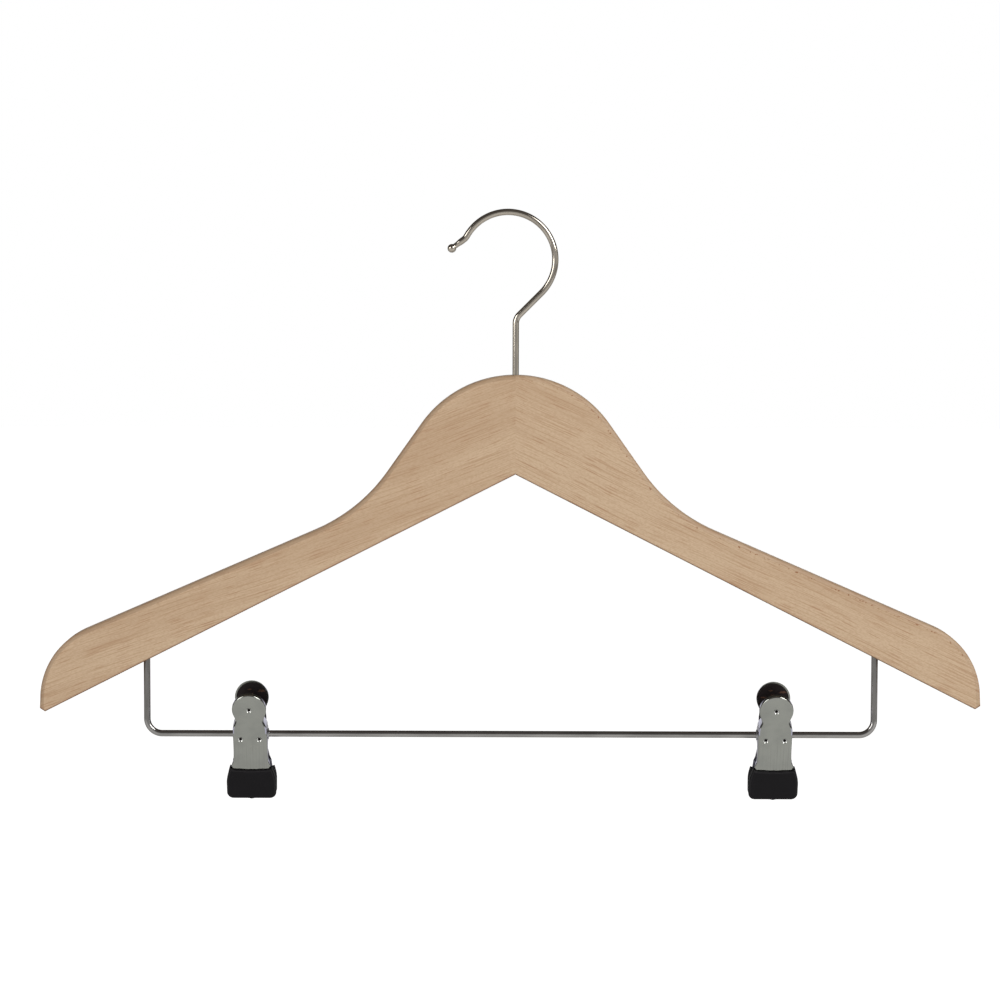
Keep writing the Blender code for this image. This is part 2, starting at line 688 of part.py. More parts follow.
def main():
    clear_scene()
    make_arms()
    make_hook()
    make_trouser_bar()
    make_clip("left", LEFT_CLIP)
    make_clip("right", RIGHT_CLIP)
    gap = least_gap(spring_path(), SPRING_WIRE, CURL_POINTS // 2)
    print(f"Least gap of the torsion spring to itself: {gap * 1000:.2f} mm")


main()
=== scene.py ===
# %% [markdown]
# # A wooden shirt hanger, dressed for its picture
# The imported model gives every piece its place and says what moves. It is faceted, as solids are,
# so each piece that shows gets a smoother skin here, in the same place and from the same sizes.

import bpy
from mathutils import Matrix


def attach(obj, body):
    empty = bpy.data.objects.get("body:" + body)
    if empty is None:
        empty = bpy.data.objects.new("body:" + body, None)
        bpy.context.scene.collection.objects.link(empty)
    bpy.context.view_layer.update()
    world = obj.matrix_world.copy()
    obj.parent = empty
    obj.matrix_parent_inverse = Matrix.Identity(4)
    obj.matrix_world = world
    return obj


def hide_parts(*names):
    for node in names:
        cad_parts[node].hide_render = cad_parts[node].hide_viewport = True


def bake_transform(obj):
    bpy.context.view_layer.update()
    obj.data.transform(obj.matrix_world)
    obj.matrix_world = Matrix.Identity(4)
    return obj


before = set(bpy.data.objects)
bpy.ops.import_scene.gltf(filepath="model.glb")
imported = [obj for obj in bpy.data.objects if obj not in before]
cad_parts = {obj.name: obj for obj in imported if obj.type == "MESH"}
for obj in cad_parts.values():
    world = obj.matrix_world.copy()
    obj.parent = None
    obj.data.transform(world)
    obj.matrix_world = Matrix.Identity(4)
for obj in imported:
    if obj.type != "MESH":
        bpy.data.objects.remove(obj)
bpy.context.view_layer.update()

# %% [markdown]
# ## Skins from rings
# Nearly every piece of a hanger is a shape swept along something: a board along its thickness, a
# wire along its bends. A list of rings of points, joined one to the next, makes all of them.

# %% Join rings of points into a closed skin
import math

import bmesh
import bpy
import numpy as np
from mathutils import Matrix, Vector


def ring_faces(count, near, far):
    """Four-sided faces between two rings of equal length."""
    near, far = near * count, far * count
    following = [(i + 1) % count for i in range(count)]
    return [(near + i, near + after, far + after, far + i) for i, after in enumerate(following)]


def skin(name, rings, round_trip=False):
    """An object from rings; its ends are capped, or the last ring meets the first again."""
    count = len(rings[0])
    points = [tuple(point) for ring in rings for point in ring]
    faces = []
    for near in range(len(rings) - 1):
        faces += ring_faces(count, near, near + 1)
    if round_trip:
        faces += ring_faces(count, len(rings) - 1, 0)
    else:
        faces.append(tuple(range(count)))
        faces.append(tuple(range(len(points) - count, len(points))))
    mesh = bpy.data.meshes.new(name)
    mesh.from_pydata(points, [], faces)
    face_outwards(mesh)
    obj = bpy.data.objects.new(name, mesh)
    bpy.context.scene.collection.objects.link(obj)
    return obj


def face_outwards(mesh):
    """Turn every face of a closed mesh outwards."""
    bm = bmesh.new()
    bm.from_mesh(mesh)
    bmesh.ops.recalc_face_normals(bm, faces=bm.faces)
    bm.to_mesh(mesh)
    bm.free()


print("Two rings of three points are joined by the faces", ring_faces(3, 0, 1))

# %% [markdown]
# ## Cutting and smoothing
# Bores and pockets are cut with exact Booleans, whose result then becomes the mesh itself. Smooth
# shading stops at corners, so that a flat board stays flat and its rounded edge looks round.

# %% Cut, shade and place a piece
SMOOTH_LIMIT = math.radians(38)


def carve(target, cutters):
    """Cut closed shapes out of a piece, keep the result as its mesh and drop the cutters."""
    for cutter in cutters:
        modifier = target.modifiers.new("carve", "BOOLEAN")
        modifier.operation = "DIFFERENCE"
        modifier.solver = "EXACT"
        modifier.object = cutter
    bpy.context.view_layer.update()
    shown = target.evaluated_get(bpy.context.evaluated_depsgraph_get())
    carved = bpy.data.meshes.new_from_object(shown)
    target.modifiers.clear()
    target.data = carved
    for cutter in cutters:
        bpy.data.objects.remove(cutter, do_unlink=True)


def dress(obj, coat, node, limit=SMOOTH_LIMIT):
    """Give a piece its finish and its smooth shading, and let it stand for a CAD node."""
    obj.data.materials.clear()
    obj.data.materials.append(coat)
    obj.data.shade_smooth()
    obj.data.set_sharp_from_angle(angle=limit)
    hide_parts(node)
    print(f"{obj.name}: {len(obj.data.polygons)} faces, stands for {node}")


def place(obj, coat, slot, body, node, limit=SMOOTH_LIMIT):
    """Dress a stiff piece and let it ride on one body."""
    dress(obj, coat, node, limit)
    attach(obj, body)


def block(name, outline, axis, start, end):
    """Extrude a flat outline along one axis; the outline holds the other two coordinates."""
    rings = []
    for depth in (start, end):
        rings.append([Vector((*point[:axis], depth, *point[axis:])) for point in outline])
    return skin(name, rings)


def between(start, end, steps):
    """Even steps from one value to another, both included."""
    return [start + (end - start) * i / steps for i in range(steps + 1)]


def circle(centre, radius, sides):
    """Points of a circle in two coordinates."""
    turns = between(0, 2 * math.pi, sides)[:-1]
    return [(centre[0] + radius * math.cos(a), centre[1] + radius * math.sin(a)) for a in turns]


print(f"Edges sharper than {math.degrees(SMOOTH_LIMIT):.0f} degrees stay sharp")

# %% [markdown]
# ## Shader sums written as Python
# A finish is a network of nodes. Drawn by hand it is hard to read, so a small class wraps a node's
# output: adding, subtracting or scaling it adds the Math node that does so.

# %% Wrap a node's output


class Wire:
    """A node's output that is added to, scaled and fed on like a number."""

    def __init__(self, tree, socket=None):
        self.tree = tree
        self.socket = socket

    def node(self, kind, settings=None, inputs=None, output=0):
        """Add a node: its settings first, then the values or links of its sockets."""
        made = self.tree.nodes.new(kind)
        for name, value in (settings or {}).items():
            setattr(made, name, value)
        for key, value in (inputs or {}).items():
            self.feed(made.inputs[key], value)
        return Wire(self.tree, made.outputs[output])

    def feed(self, socket, value):
        """Link a wire to a socket, or set a plain value on it."""
        if isinstance(value, Wire):
            self.tree.links.new(value.socket, socket)
        else:
            socket.default_value = value

    def sum(self, operation, first, second):
        """One Math node on two values or wires."""
        return self.node("ShaderNodeMath", {"operation": operation}, {0: first, 1: second})

    def __add__(self, other):
        return self.sum("ADD", self, other)

    def __radd__(self, other):
        return self.sum("ADD", other, self)

    def __sub__(self, other):
        return self.sum("SUBTRACT", self, other)

    def __rsub__(self, other):
        return self.sum("SUBTRACT", other, self)

    def __mul__(self, other):
        return self.sum("MULTIPLY", self, other)

    def __rmul__(self, other):
        return self.sum("MULTIPLY", other, self)

    def rise(self, low, high):
        """0 below one value, 1 above the other, and a soft step between them."""
        reach = {"Value": self, "From Min": low, "From Max": high}
        return self.node("ShaderNodeMapRange", {"interpolation_type": "SMOOTHSTEP"}, reach)

    def fall(self, low, high):
        """1 below one value, 0 above the other."""
        return 1 - self.rise(low, high)

    def band(self, low, full, fading, gone):
        """1 between two values, with a soft step on either side."""
        return self.rise(low, full) * self.fall(fading, gone)

    def axis(self, letter):
        """One coordinate of a vector."""
        return self.node("ShaderNodeSeparateXYZ", {}, {"Vector": self}, letter)

    def tint(self, plain, full):
        """A colour between two, by this wire's value."""
        return self.node("ShaderNodeMix", {"data_type": "RGBA"}, {0: self, 6: plain, 7: full}, 2)

    def stretch(self, scales):
        """A vector scaled differently along its three axes."""
        return self.node("ShaderNodeVectorMath", {"operation": "MULTIPLY"}, {0: self, 1: scales})

    def noise(self, scales, detail=2.0):
        """Soft noise over a stretched vector."""
        inputs = {"Vector": self.stretch(scales), "Scale": 1.0, "Detail": detail}
        return self.node("ShaderNodeTexNoise", {}, inputs)


def paint(red, green, blue):
    """A colour as a screen shows it, from 0 to 255, as the linear colour that a shader takes."""
    def linear(value):
        share = value / 255
        return share / 12.92 if share <= 0.04045 else ((share + 0.055) / 1.055) ** 2.4

    return (linear(red), linear(green), linear(blue), 1.0)


def finish(name, metallic, roughness):
    """A new material: itself, a wire to build on, and its shader."""
    material = bpy.data.materials.new(name)
    material.use_nodes = True
    shader = material.node_tree.nodes["Principled BSDF"]
    shader.inputs["Metallic"].default_value = metallic
    shader.inputs["Roughness"].default_value = roughness
    return material, Wire(material.node_tree), shader


def roughen(shader, height, strength, distance):
    """Let a height, given as a wire, disturb a finish."""
    bump = {"Height": height, "Strength": strength, "Distance": distance}
    height.feed(shader.inputs["Normal"], height.node("ShaderNodeBump", {}, bump))


print(f"Half bright on a screen is {paint(128, 128, 128)[0]:.3f} of full light")

# %% [markdown]
# ## Beech
# Beech is pale and slightly pink. Up close it has soft bands, fine fibres and, on a board cut
# along the growth rings, many short pinkish brown flecks. All of them run along the board, so
# noise is stretched far along each arm. The edge that a router has rounded is darker, partly by
# burnish and partly by painted shade that is stronger on the left arm, away from the stronger
# lamp, with a few torn spots beside it, and the sawn lower edge has a dark arris.

# %% Mix the beech
BEECH_LIGHT = paint(210, 183, 151)
BEECH_DEEP = paint(200, 171, 139)
BEECH_HAIR = paint(179, 141, 107)
BEECH_FLECK = paint(171, 125, 90)
# Darker routed rim: partly burnish of the wood, partly painted shade.
BEECH_BURNISH_AND_SHADE = paint(150, 120, 92)
BEECH_TORN = paint(150, 92, 50)
BEECH_ARRIS = paint(100, 70, 46)
ROUTED_RIM, TORN_BAND = (0.0018, 0.0022), (0.0017, 0.0020, 0.0024, 0.0028)
ARRIS_HALO, ARRIS_LINE = (0.0007, 0.0012), (0.0002, 0.0007)
GRAIN_WANDER = 0.007


def stored(wires, name, output="Fac"):
    """A value that the piece's points or faces carry."""
    return wires.node("ShaderNodeAttribute", {"attribute_name": name}, {}, output)


def beech_flecks(wires, grain):
    """Short narrow flecks: a stretched cell each, of which only some are marked."""
    cells = {"Vector": grain.stretch((70, 300, 1500)), "Scale": 1.0}
    distance = wires.node("ShaderNodeTexVoronoi", {}, cells, "Distance")
    random = wires.node("ShaderNodeTexVoronoi", {}, cells, "Color")
    random = wires.node("ShaderNodeSeparateColor", {}, {"Color": random}, "Red")
    return distance.fall(0.14, 0.38) * random.rise(0.25, 0.75)


def beech(name, lean, sunned, shaded, torn):
    """Beech whose fibres lean by an angle; sunned lightens it, shaded sets the painted shade of its
    routed rim, torn marks beside its rim.
    """
    material, wires, shader = finish(name, 0.0, 0.52)
    here = wires.node("ShaderNodeTexCoord", output="Object")
    grain = wires.node("ShaderNodeMapping", {}, {"Vector": here, "Rotation": (0.0, lean, 0.0)})
    wander = grain.noise((9, 20, 24), 1.0) - 0.5
    shift = wires.node("ShaderNodeCombineXYZ", {}, {"Z": wander * GRAIN_WANDER})
    grain = wires.node("ShaderNodeVectorMath", {"operation": "ADD"}, {0: grain, 1: shift})
    bands = grain.noise((6, 60, 95), 2.0).rise(0.36 + sunned, 0.66 + sunned)
    fibres = grain.noise((45, 700, 2300), 3.0)
    hairs = grain.noise((26, 500, 2600), 1.0).rise(0.50, 0.66)
    speck = grain.noise((700, 1800, 1800), 1.0)
    flecks = beech_flecks(wires, grain)
    rim, arris = stored(wires, "rim"), stored(wires, "arris")
    routed, beside = rim.fall(*ROUTED_RIM), rim.band(*TORN_BAND)
    spots = here.noise((800, 800, 800), 1.0).rise(0.60, 0.66)
    colour = bands.tint(BEECH_LIGHT, BEECH_DEEP)
    colour = (hairs * 0.62).tint(colour, BEECH_HAIR)
    colour = (flecks * 0.66).tint(colour, BEECH_FLECK)
    colour = (speck.rise(0.38, 0.72) * 0.32).tint(colour, BEECH_HAIR)
    # Painted shade, with some burnish: the routed rim darkens by the shaded share.
    colour = (routed * shaded).tint(colour, BEECH_BURNISH_AND_SHADE)
    colour = (beside * spots * torn).tint(colour, BEECH_TORN)
    colour = (arris.fall(*ARRIS_HALO) * 0.22).tint(colour, BEECH_TORN)
    colour = (arris.fall(*ARRIS_LINE) * 0.80).tint(colour, BEECH_ARRIS)
    wires.feed(shader.inputs["Base Color"], colour)
    wires.feed(shader.inputs["Roughness"], 0.46 + fibres * 0.16)
    roughen(shader, fibres - flecks * 0.4, 0.25, 0.00010)
    return material


# The left arm's rim gets more painted shade, as the stronger lamp stands on the right.
LEFT_BEECH = beech("beech_left", math.radians(20), 0.02, 0.46, 0.20)
RIGHT_BEECH = beech("beech_right", math.radians(-25), 0.06, 0.26, 0.85)
print("Beech for two arms")

# %% [markdown]
# ## The outline of the wood
# The body is cut from 12 mm board. Its top is a round dome, a steep neck, a hollow and a straight
# shoulder that ends in a quarter round. Below are two straight edges that meet in a V.

# %% Trace the outline
THICKNESS = 0.0120
LEFT_REACH, RIGHT_REACH = 0.2277, 0.2233
DOME_RADIUS = 0.0551
NECK_SLOPE, NECK_LENGTH = math.radians(54.7), 0.0287
HOLLOW_RADIUS = 0.0814
SHOULDER_SLOPE = math.radians(23.5)
TIP_RADIUS = 0.0367
TIP_CUT_UP, TIP_CUT_IN = 0.0029, 0.0025
MITRE_HEIGHT = 0.0473
UNDERSIDE_SLOPE = math.radians(26.95)
CROWN_RADIUS, CROWN_OFFSET, CROWN_RISE = 0.0225, 0.0038, 0.0550
HOOK_WIRE, BAR_WIRE = 0.0031, 0.0032
CROWN_LEVEL = -math.sqrt((CROWN_RADIUS - HOOK_WIRE / 2) ** 2 - CROWN_OFFSET ** 2)
DOME_TOP = CROWN_LEVEL - CROWN_RISE
MITRE_BOTTOM = DOME_TOP - MITRE_HEIGHT
DOME_STEPS, HOLLOW_STEPS, TIP_STEPS = 30, 18, 24


def shoulder(reach):
    """Upper outline of one arm from the dome to the tip, as distance out and height."""
    points = []
    for a in between(0, NECK_SLOPE, DOME_STEPS):
        points.append((DOME_RADIUS * math.sin(a), DOME_RADIUS * (math.cos(a) - 1)))
    hollow_x = points[-1][0] + NECK_LENGTH * math.cos(NECK_SLOPE)
    hollow_z = points[-1][1] - NECK_LENGTH * math.sin(NECK_SLOPE)
    radius = HOLLOW_RADIUS
    centre_x = hollow_x + radius * math.sin(NECK_SLOPE)
    centre_z = hollow_z + radius * math.cos(NECK_SLOPE)
    for a in between(NECK_SLOPE, SHOULDER_SLOPE, HOLLOW_STEPS):
        points.append((centre_x - radius * math.sin(a), centre_z - radius * math.cos(a)))
    tip_x = reach - TIP_RADIUS
    start_x = tip_x + TIP_RADIUS * math.sin(SHOULDER_SLOPE)
    start_z = points[-1][1] - (start_x - points[-1][0]) * math.tan(SHOULDER_SLOPE)
    tip_z = start_z - TIP_RADIUS * math.cos(SHOULDER_SLOPE)
    for a in between(SHOULDER_SLOPE, math.pi / 2, TIP_STEPS):
        points.append((tip_x + TIP_RADIUS * math.sin(a), tip_z + TIP_RADIUS * math.cos(a)))
    return points


def underside(x):
    """Height of the straight lower edge at a distance from the swivel axis."""
    return MITRE_BOTTOM - abs(x) * math.tan(UNDERSIDE_SLOPE)


EDGE_ROUND, ARRIS = 0.0021, 0.0005


def arm_outline(reach, side):
    """Points of one arm from the dome to the tip's clipped corner, each with its edge radius."""
    points = [(side * x, DOME_TOP + z, EDGE_ROUND) for x, z in shoulder(reach)]
    points.append((side * reach, underside(reach) + TIP_CUT_UP, ARRIS))
    points.append((side * (reach - TIP_CUT_IN), underside(reach - TIP_CUT_IN), ARRIS))
    return points


body_outline = arm_outline(RIGHT_REACH, 1) + [(0.0, MITRE_BOTTOM, ARRIS)]
body_outline += list(reversed(arm_outline(LEFT_REACH, -1)[1:]))
print(f"{len(body_outline)} points round the wood")

# %% [markdown]
# ## The two arms
# The board's long edges are rounded with a router bit. The arms are the same board split by the
# comb joint, so one rounded body is made and each arm is cut out of it. Two values stored on the
# points say how far they lie from the routed edge and from the sawn one, and the beech uses them
# for the darker rim, partly burnish and partly painted shade, and for the arris.

# %% Round the edges
ROUND_STEPS = 8
FLAT_INSETS = (0.0004, 0.0011, 0.0020)


def inward_offsets(outline):
    """For each corner, the move that shifts both edges beside it inwards by one unit."""
    count = len(outline)
    moves = []
    for i, (x, z, _) in enumerate(outline):
        normals = []
        for a, b in ((outline[i - 1], outline[i]), (outline[i], outline[(i + 1) % count])):
            edge = Vector((b[0] - a[0], b[1] - a[1])).normalized()
            normals.append(Vector((edge.y, -edge.x)))
        joint = normals[0] + normals[1]
        moves.append(joint / (1 + normals[0].dot(normals[1])))
    return moves


def board_ring(moves, depth_share, side, extra):
    """One ring of the board, on its rounded edge or a little further in on its flat face."""
    ring = []
    for (x, z, radius), move in zip(body_outline, moves):
        inset = radius * (1 - math.sin(depth_share * math.pi / 2)) + extra
        y = side * (THICKNESS / 2 - radius * (1 - math.cos(depth_share * math.pi / 2)))
        ring.append(Vector((x + move.x * inset, y, z + move.y * inset)))
    return ring


def board(name):
    """The whole rounded body, as one skin from its front face to its back face."""
    moves = inward_offsets(body_outline)
    front = [board_ring(moves, 0, -1, extra) for extra in reversed(FLAT_INSETS)]
    front += [board_ring(moves, i / ROUND_STEPS, -1, 0) for i in range(ROUND_STEPS + 1)]
    back = [board_ring(moves, i / ROUND_STEPS, 1, 0) for i in range(ROUND_STEPS + 1)]
    back = [board_ring(moves, 0, 1, extra) for extra in reversed(FLAT_INSETS)] + back
    return skin(name, front + list(reversed(back)))


print(f"{len(FLAT_INSETS) + ROUND_STEPS + 1} rings on each side of the board")

# %% [markdown]
# ## Numbers that points carry
# The routed rim, darker by burnish and by painted shade, and the sawn arris follow the outline,
# which no noise can draw. So each point carries a number that says how far it lies from such an
# edge, and the finish reads it.
# Wires, rings and leaves also let their points carry their place in the piece's own space.

# %% Measure distances and store them


def flat_points(obj):
    """Width and height of each point of a piece."""
    return [(v.co.x, v.co.z) for v in obj.data.vertices]


def gaps_to(points, starts, ends):
    """Least distance of each flat point to a set of straight edges."""
    starts, edges = np.array(starts), np.array(ends) - np.array(starts)
    gaps = np.array(points)[:, None, :] - starts[None, :, :]
    along = np.clip((gaps * edges).sum(2) / (edges ** 2).sum(1), 0, 1)
    return np.linalg.norm(gaps - along[..., None] * edges, axis=2).min(1)


def gaps_round(points, outline):
    """Least distance of each flat point to a closed outline."""
    return gaps_to(points, outline, outline[1:] + outline[:1])


def store(obj, name, values, domain="POINT"):
    """Store a number on each point or face of a piece, for its finish to read."""
    layer = obj.data.attributes.new(name, "FLOAT", domain)
    layer.data.foreach_set("value", np.asarray(values, dtype=np.float32))


def remember(obj, places):
    """Let each point carry its place in the piece's own space, for its finish to read."""
    layer = obj.data.attributes.new("own_place", "FLOAT_VECTOR", "POINT")
    layer.data.foreach_set("vector", [value for place in places for value in place])


def store_edges(obj):
    """Store the distances from the routed outline and from the sawn lower edge."""
    points = flat_points(obj)
    pairs = list(zip(body_outline, body_outline[1:] + body_outline[:1]))
    sawn = [pair for pair in pairs if pair[0][2] == pair[1][2] == ARRIS]
    routed = [pair for pair in pairs if pair not in sawn]
    for name, chosen in (("rim", routed), ("arris", sawn)):
        store(obj, name, gaps_to(points, [a[:2] for a, _ in chosen], [b[:2] for _, b in chosen]))
    print(f"{obj.name}: {len(routed)} routed and {len(sawn)} sawn edges")


print("One off a straight edge measures", gaps_to([(0.5, 1.0)], [(0, 0)], [(1, 0)])[0])

# %% [markdown]
# ## Splitting the body
# A comb joint holds the arms together: each has a finger that fills a slot of the other. So one
# outline serves both arms, turned about the swivel axis. Each arm is then bored for the hook,
# with a wider seat for its head, and for the bar's leg.

# %% Split the body into arms
OVERRUN = 0.0020
BORE_GAP = 0.0002
BORE_SIDES, LEG_BORE_SIDES = 48, 32
BAR_LEGS = {"left": -0.1768, "right": 0.1730}
LEG_SEAT, LEG_BORE_START = 0.0180, 0.0050
COMB_REACH = 0.2400
GLUE_LINE = 0.00002
FINGER = 0.0120
FINGER_INNER, FINGER_OUTER = 0.0024, 0.0041
SEAT_DEPTH, SEAT_DIAMETER = 0.0110, 0.0088
BORE_RADIUS = HOOK_WIRE / 2 + BORE_GAP
SEAT_LEVEL = MITRE_BOTTOM + SEAT_DEPTH


def comb(name, side):
    """What is taken from the whole body to leave one arm with its finger and its slot."""
    near, wide, far = GLUE_LINE / 2, THICKNESS, COMB_REACH
    slot = FINGER + GLUE_LINE
    profile = [(-near, -wide), (-near, -FINGER_OUTER), (FINGER, -FINGER_OUTER)]
    profile += [(FINGER, -FINGER_INNER), (-near, -FINGER_INNER)]
    profile += [(-near, FINGER_INNER - GLUE_LINE), (-slot, FINGER_INNER - GLUE_LINE)]
    profile += [(-slot, FINGER_OUTER + GLUE_LINE), (-near, FINGER_OUTER + GLUE_LINE)]
    profile += [(-near, wide), (far, wide), (far, -wide)]
    turned = [(-side * x, -side * y) for x, y in profile]
    return block(name, turned, 2, underside(far), DOME_TOP + OVERRUN)


def seat_bore(name):
    """The bore of the hook with the wider seat of its head below."""
    seat = SEAT_DIAMETER / 2
    profile = [(seat, MITRE_BOTTOM - SEAT_DEPTH), (seat, SEAT_LEVEL)]
    profile += [(BORE_RADIUS, SEAT_LEVEL), (BORE_RADIUS, DOME_TOP + OVERRUN)]
    rings = []
    for radius, z in profile:
        rings.append([Vector((x, y, z)) for x, y in circle((0, 0), radius, BORE_SIDES)])
    return skin(name, rings)


for side, word, wood in ((-1, "left", LEFT_BEECH), (1, "right", RIGHT_BEECH)):
    arm = board(f"{word}_beech_arm")
    leg = BAR_LEGS[word]
    leg_hole = circle((leg, 0), BAR_WIRE / 2 + BORE_GAP, LEG_BORE_SIDES)
    low, high = underside(leg) - LEG_BORE_START, underside(leg) + LEG_SEAT
    leg_bore = block("leg_bore", leg_hole, 2, low, high)
    carve(arm, [comb("comb", side), seat_bore("seat_bore"), leg_bore])
    store_edges(arm)
    place(arm, wood, "beech", "hanger", f"{word}_arm")

# %% [markdown]
# ## Plated wire
# Nickel is warmer than chrome, and a drawn wire keeps faint lengthwise marks under its plating.
# Each point of a wire keeps its place along and across the wire, so that the marks follow every
# bend. Noise in the roughness breaks up the reflections, which a perfect mirror would give away.

# %% Mix the metals


def plated(name, tone, roughness, marks):
    """Bright plating with a little unevenness in its gloss and its colour."""
    material, wires, shader = finish(name, 1.0, roughness)
    own = stored(wires, "own_place", "Vector")
    cloud = own.noise((70, 400, 400), 2.0)
    drawn = own.noise((22, 1400, 1400), 1.0)
    dull = tuple(value * 0.80 for value in tone[:3]) + (1.0,)
    wires.feed(shader.inputs["Base Color"], cloud.rise(0.35, 0.7).tint(tone, dull))
    wires.feed(shader.inputs["Roughness"], roughness + (drawn - 0.5) * marks)
    roughen(shader, drawn, 0.08, 0.00002)
    return material


NICKEL = plated("warm_nickel", paint(190, 182, 169), 0.11, 0.04)
CHROME_WIRE = plated("chromed_wire", paint(168, 166, 163), 0.13, 0.08)
SPRING_STEEL = plated("oiled_spring_steel", paint(160, 160, 160), 0.30, 0.10)
print("Plated wire and spring steel")

# %% [markdown]
# ## The hook
# One wire is bent into a shank, a slanting neck and a crown, then narrowed and finished with a
# small ball. Rings that stand square to the wire's path, with a radius each, give all of it.

# %% Bend the hook
WIRE_SIDES, WIRE_LIMIT = 32, math.radians(50)


def tube(name, path, radii, sides):
    """A round skin along a path, one radius a point, closed at both ends."""
    rings, places, length = [], [], 0.0
    across = Vector((0, 1, 0))
    turns = between(0, 2 * math.pi, sides)[:-1]
    for i, (point, radius) in enumerate(zip(path, radii)):
        before, after = path[max(i - 1, 0)], path[min(i + 1, len(path) - 1)]
        ahead = (after - before).normalized()
        across = (across - across.dot(ahead) * ahead).normalized()
        other = ahead.cross(across)
        length += (point - before).length
        rings.append([point + radius * (math.cos(a) * across + math.sin(a) * other) for a in turns])
        places += [(length, radius * math.cos(a), radius * math.sin(a)) for a in turns]
    made = skin(name, rings)
    remember(made, places)
    return made


def arc(centre, radius, start, end, steps):
    """Points of an arc in X and Z, with angles measured from +X towards +Z."""
    turns = between(start, end, steps)
    return [centre + radius * Vector((math.cos(a), 0, math.sin(a))) for a in turns]


HOOK_LEAN = math.radians(45)
BEND = 0.0058
TIP_ANGLE, TIP_TURN = math.radians(150.5), math.radians(24)
TIP_LENGTH = 0.0069
BALL_RADIUS = 0.0021
NECK_SHARE = 0.83
NECK_START_SHARE, NECK_END_SHARE, BALL_END_SHARE = 0.20, 0.62, 0.985
BEND_STEPS, CROWN_STEPS, TURN_STEPS, NECK_STEPS, BALL_STEPS = 16, 110, 8, 8, 24
WASHER_GAP, WASHER_THICKNESS = 0.0003, 0.0010
UPSET_RADIUS, UPSET_HEIGHT, UPSET_STEP = 0.0026, 0.0018, 0.0001
CROWN = Vector((-CROWN_OFFSET, 0, CROWN_LEVEL))


def hook_tip(start):
    """Points and radii of the hook's end: a slight bend, a narrowed neck and a ball."""
    centre = start + BEND * (start - CROWN).normalized()
    back = TIP_ANGLE + math.pi
    points = arc(centre, BEND, back, back - TIP_TURN, TURN_STEPS)[1:]
    radii = [HOOK_WIRE / 2] * len(points)
    heading = TIP_ANGLE + math.pi / 2 - TIP_TURN
    forward = Vector((math.cos(heading), 0, math.sin(heading)))
    neck = points[-1]
    ball = neck + TIP_LENGTH * forward
    for share in between(0, NECK_END_SHARE, NECK_STEPS)[1:]:
        passed = max(share - NECK_START_SHARE, 0) / (NECK_END_SHARE - NECK_START_SHARE)
        narrowing = (1 - math.cos(math.pi * passed)) / 2
        points.append(neck.lerp(ball, share))
        radii.append(HOOK_WIRE / 2 * (1 - (1 - NECK_SHARE) * narrowing))
    meet = math.asin(NECK_SHARE * HOOK_WIRE / 2 / BALL_RADIUS)
    for a in between(meet, math.pi * BALL_END_SHARE, BALL_STEPS):
        points.append(ball - BALL_RADIUS * math.cos(a) * forward)
        radii.append(BALL_RADIUS * math.sin(a))
    return points, radii


washer_top = SEAT_LEVEL - WASHER_GAP
head_top = washer_top - WASHER_THICKNESS - WASHER_GAP
path = [Vector((0, 0, head_top - z)) for z in (UPSET_HEIGHT, UPSET_STEP, 0.0)]
radii = [UPSET_RADIUS, UPSET_RADIUS, HOOK_WIRE / 2]
crown = arc(CROWN, CROWN_RADIUS, -HOOK_LEAN, TIP_ANGLE, CROWN_STEPS)
run = (crown[0].x - BEND * (1 - math.cos(HOOK_LEAN))) / math.tan(HOOK_LEAN)
bend = Vector((BEND, 0, crown[0].z - run - BEND * math.sin(HOOK_LEAN)))
path += arc(bend, BEND, math.pi, math.pi - HOOK_LEAN, BEND_STEPS) + crown
radii += [HOOK_WIRE / 2] * (len(path) - len(radii))
tip_path, tip_radii = hook_tip(crown[-1])
hook = tube("nickel_hook", path + tip_path, radii + tip_radii, WIRE_SIDES)
place(hook, NICKEL, "nickel", "hook", "hook", WIRE_LIMIT)

# %% [markdown]
# ## Washer and rivet rings
# A washer and a hollow rivet are both a small section spun about an axis. The washer lies in the
# seat, and the hook's wider head turns below it, so that the hook can't be pulled out.

# %% Spin a section
RING_SIDES = 64
WASHER_RADIUS, WASHER_BEVEL = 0.0040, 0.0002


def ring(name, section, axis):
    """Spin a closed section of radius and height pairs about X (axis 0) or Z (axis 2)."""
    rings = []
    for radius, height in section:
        points = circle((0, 0), radius, RING_SIDES)
        rings.append([Vector((*point[:axis], height, *point[axis:])) for point in points])
    made = skin(name, rings, round_trip=True)
    remember(made, [point for turn in rings for point in turn])
    return made


washer_bottom = washer_top - WASHER_THICKNESS
flat_radius = WASHER_RADIUS - WASHER_BEVEL
section = [(BORE_RADIUS, washer_bottom), (flat_radius, washer_bottom)]
section += [(WASHER_RADIUS, washer_bottom + WASHER_BEVEL)]
section += [(WASHER_RADIUS, washer_top - WASHER_BEVEL)]
section += [(flat_radius, washer_top), (BORE_RADIUS, washer_top)]
place(ring("seat_washer", section, 2), SPRING_STEEL, "spring_steel", "hanger", "hook_washer")

# %% [markdown]
# ## The trouser bar
# A straight wire runs level below the arms. Both its ends turn up and stand in the wood.

